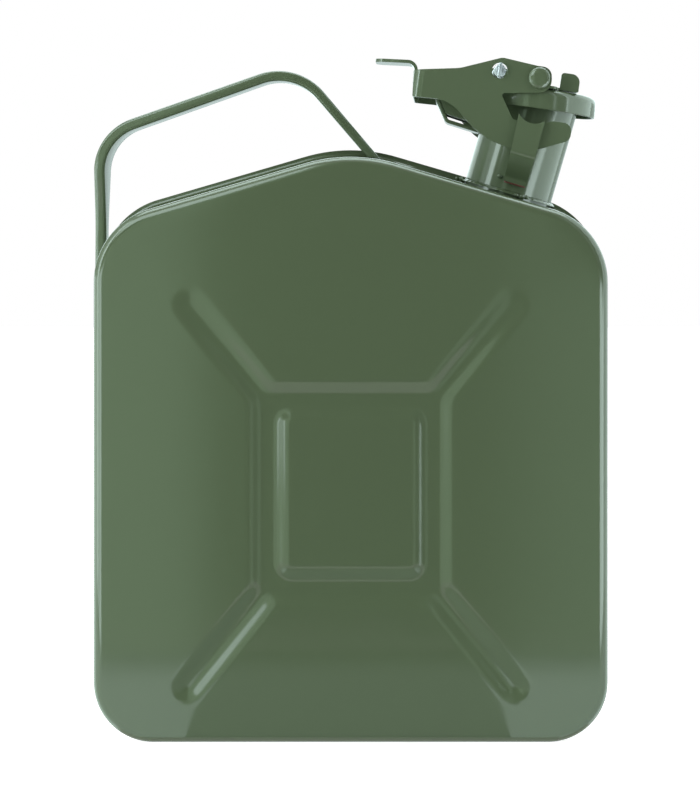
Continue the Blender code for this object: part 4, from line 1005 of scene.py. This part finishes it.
# %% [markdown]
# ## The studio
# A white sweep and a white room, with three soft lamps. Gloss paint shows what stands round it, so cards
# that only mirrors see hang in the room. The card behind the camera is dark in its middle, which the
# middle of the large face mirrors, and bright beside it, so the face grows paler toward its sides. Tall
# strips left and right give the stripes on the neck and the lid, short ones low down light the rim, and
# dark flags keep the stripes narrow. The floor itself shows in no mirror: three cards just over it give
# the paler corners at the foot of the face.

# %% Floor, light and camera
def flat_stage(name, corners, colour):
    """A flat piece of the studio with its own material."""
    material, tree, shader, place = finish(name)
    feed(tree, shader, Base_Color=colour, Roughness=0.9)
    thing = put_mesh(name, np.array(corners, float), [[0, 1, 2, 3]], smooth=False)
    thing.data.materials.append(material)
    return thing, tree, shader, place


floor, tree, shader, place = flat_stage(
    "white_sweep", [(-2, -0.6, 0), (2, -0.6, 0), (2, 2, 0), (-2, 2, 0)], linear("#f2f2f2")
)
seen_direct = tree.nodes.new("ShaderNodeLightPath").outputs["Is Camera Ray"]
lift = node(tree, "ShaderNodeMath", {"operation": "MULTIPLY"}, _0=seen_direct, _1=0.8)
feed(tree, shader, Emission_Color=grey(1), Emission_Strength=lift.outputs[0])
floor.visible_glossy = False


COOL_WHITE, GREEN_WHITE = "#ebfffd", "#dcffe0"


def glossy_card(name, corners, stops, axis=0, tint=COOL_WHITE):
    """A card that only mirrors see, whose glow runs along one axis through (metres, strength) stops."""
    thing, tree, shader, place = flat_stage(name, corners, linear("#050505"))
    split = node(tree, "ShaderNodeSeparateXYZ", Vector=place)
    low, high = stops[0][0], stops[-1][0]
    share = node(tree, "ShaderNodeMapRange", Value=split.outputs[axis], From_Min=low, From_Max=high)
    most = max(strength for at, strength in stops) or 1.0
    marks = [((at - low) / (high - low), grey(strength / most)) for at, strength in stops]
    glow = ramp(tree, share.outputs[0], marks)
    level = node(tree, "ShaderNodeMath", {"operation": "MULTIPLY"}, _0=glow.outputs[0], _1=most)
    feed(tree, shader, Emission_Color=linear(tint), Emission_Strength=level.outputs[0])
    thing.visible_camera = False
    thing.visible_diffuse = False
    thing.visible_shadow = False
    return thing


def even(ends, strength):
    """Stops of one strength between two places."""
    return [(ends[0], strength), (ends[1], strength)]


def upright(name, x, y, z, stops, tint=COOL_WHITE):
    """A card from one (x, y) to the other and between two heights. One number for y is the same at both
    ends, and one number for the stops, which lie along its longer way, is an even glow."""
    y = (y, y) if isinstance(y, float) else y
    axis = 0 if abs(x[1] - x[0]) > abs(y[1] - y[0]) else 1
    first, last = sorted(zip(x, y), key=lambda end: end[axis])
    if not isinstance(stops, list):
        stops = even((first[axis], last[axis]), stops)
    corners = [(*first, z[0]), (*last, z[0]), (*last, z[1]), (*first, z[1])]
    return glossy_card(name, corners, stops, axis, tint)


def bank(name, angles, distance, z, strength):
    """An upright card between two compass angles seen from the neck: x = d sin a, y = -d cos a."""
    x = [NECK_X + distance * math.sin(math.radians(a)) for a in angles]
    y = [-distance * math.cos(math.radians(a)) for a in angles]
    return upright(name, x, y, z, strength)


def level_card(name, x, y, z, stops):
    """A card that lies flat. Its stops run from front to back."""
    corners = [(x[0], y[0], z), (x[1], y[0], z), (x[1], y[1], z), (x[0], y[1], z)]
    return glossy_card(name, corners, stops, 1)


NECK_X = 0.08
FRONT_Y, LEFT_FRONT_Y, FLAG_Y, RIGHT_FRONT_Y, BACK_Y = -0.9, -0.89, -0.885, -0.88, 1.5
FLOOR_Y, FLOOR_Z = (-0.195, -0.054), 0.001
SIDE_DISTANCE, STRIP_DISTANCE, RIM_DISTANCE = 0.8, 0.78, 0.82
FRONT = [(-2.0, 1.05), (-0.162, 1.05), (-0.132, 0.0), (0.134, 0.0), (0.164, 0.3), (0.23, 0.7)]
FRONT += [(0.34, 0.7), (0.38, 0.1), (2.0, 0.1)]
LEFT_FRONT = [(-0.85, 2.2), (-0.62, 2.4), (-0.5, 5.0), (-0.46, 5.0), (-0.42, 1.05)]
UNDER = [(-0.195, 0.0), (-0.16, 0.5), (-0.054, 0.5)]
BESIDE = [(-0.2, 0.3), (-0.15, 2.0), (-0.054, 2.0)]

upright("front_card", (-2.0, 2.0), FRONT_Y, (-0.2, 1.6), FRONT, GREEN_WHITE)
upright("right_front_card", (0.62, 2.0), RIGHT_FRONT_Y, (0.26, 1.2), 2.0)
upright("right_front_flag", (0.2, 0.62), FLAG_Y, (0.17, 1.2), 0.05)
upright("left_front_flag", (-1.2, -0.3), FLAG_Y, (0.33, 0.75), 0.05)
upright("left_front_card", (-0.85, -0.42), LEFT_FRONT_Y, (-0.05, 0.23), LEFT_FRONT)
level_card("floor_card", (-0.075, 0.075), FLOOR_Y, FLOOR_Z, UNDER)
level_card("floor_card_left", (-0.4, -0.075), FLOOR_Y, FLOOR_Z, BESIDE)
level_card("floor_card_right", (0.075, 0.4), FLOOR_Y, FLOOR_Z, BESIDE)
bank("left_strip", (-56, -72), SIDE_DISTANCE, (-0.8, 0.9), 7.5)
bank("left_side", (-69, -92), SIDE_DISTANCE, (0.22, 1.2), 1.5)
bank("left_flag", (-92, -130), SIDE_DISTANCE, (0.22, 1.2), 0.6)
bank("left_rim_side", (-69, -130), RIM_DISTANCE, (-0.8, 0.22), 3.0)
bank("right_strip", (38, 57), STRIP_DISTANCE, (-0.8, 0.15), 8.0)
bank("right_flag", (36, 57), STRIP_DISTANCE, (0.15, 0.8), 0.2)
bank("right_lid_strip", (57.5, 78), STRIP_DISTANCE, (0.09, 0.8), 7.5)
bank("right_side", (57, 125), SIDE_DISTANCE, (-0.8, 1.2), 3.0)
tilted = [(-0.75, -0.8, 0.55), (-0.2, -0.85, 0.55), (-0.2, -0.65, 1.1), (-0.75, -0.6, 1.1)]
glossy_card("upper_left_card", tilted, even((-0.75, -0.2), 6.0))
level_card("top_card", (-1.2, 1.2), (-0.25, 0.6), 1.5, even((-0.25, 0.6), 6.5))
upright("back_card", (-2.5, 2.5), BACK_Y, (0.3, 2.0), 2.2)
upright("left_rim_strip", (-0.254, -0.188), (-0.2, -0.24), (-0.3, 0.22), 6.0)
upright("right_rim_strip", (0.182, 0.248), (-0.2425, -0.2065), (-0.3, 0.2), 7.0)
upright("back_low_card", (-2.5, 2.5), BACK_Y, (-1.5, 0.3), 0.9)

world = bpy.data.worlds.new("white room")
bpy.context.scene.world = world
world.use_nodes = True
tree = world.node_tree
path = tree.nodes.new("ShaderNodeLightPath")
seen = path.outputs["Is Camera Ray"]
for ray in ("Is Glossy Ray", "Is Transmission Ray"):
    either = node(tree, "ShaderNodeMath", {"operation": "MAXIMUM"}, _0=seen, _1=path.outputs[ray])
    seen = either.outputs[0]
level = node(tree, "ShaderNodeMapRange", Value=seen, To_Min=0.4, To_Max=1.0)
feed(tree, tree.nodes["Background"], Color=grey(1), Strength=level.outputs[0])


def softbox(name, place, target, size, power):
    """A soft rectangular lamp, aimed at a point, that doesn't show in the paint."""
    lamp = bpy.data.lights.new(name, "AREA")
    lamp.shape = "RECTANGLE"
    lamp.size, lamp.size_y = size
    lamp.energy = power
    thing = bpy.data.objects.new(name, lamp)
    bpy.context.scene.collection.objects.link(thing)
    way = np.array(target, float) - np.array(place, float)
    thing.rotation_euler = Vector(way).to_track_quat("-Z", "Y").to_euler()
    thing.location = place
    thing.visible_glossy = False
    return thing


softbox("left softbox", (-1.1, -0.5, 0.45), (0, 0, 0.15), (0.8, 1.2), 13.2)
softbox("right softbox", (1.3, -0.7, 0.6), (0, 0, 0.15), (0.8, 1.0), 5.9)
softbox("top softbox", (0, 0.1, 1.4), (0, 0, 0.1), (1.2, 1.0), 4.8)

# The photograph is 800 pixels high. Its lens and shift follow from the can's drawn corners.
PHOTO_HEIGHT = 800
FOCAL_PIXELS = 1745.8333
SENSOR = 36
EYE = (CAN_SHIFT * MM, -0.8525, 0.26565)
lens = bpy.data.cameras.new("camera")
camera = bpy.data.objects.new("camera", lens)
bpy.context.scene.collection.objects.link(camera)
camera.location = EYE
camera.rotation_euler = (math.radians(90), 0, 0)
lens.sensor_width = SENSOR
lens.lens = SENSOR * FOCAL_PIXELS / PHOTO_HEIGHT
lens.shift_x = -0.7 / PHOTO_HEIGHT
lens.shift_y = -235 / PHOTO_HEIGHT
lens.clip_start = 0.01
bpy.context.scene.camera = camera
bpy.context.scene.view_settings.view_transform = "Standard"
print("lens %.1f mm, shift %.3f" % (lens.lens, lens.shift_y))
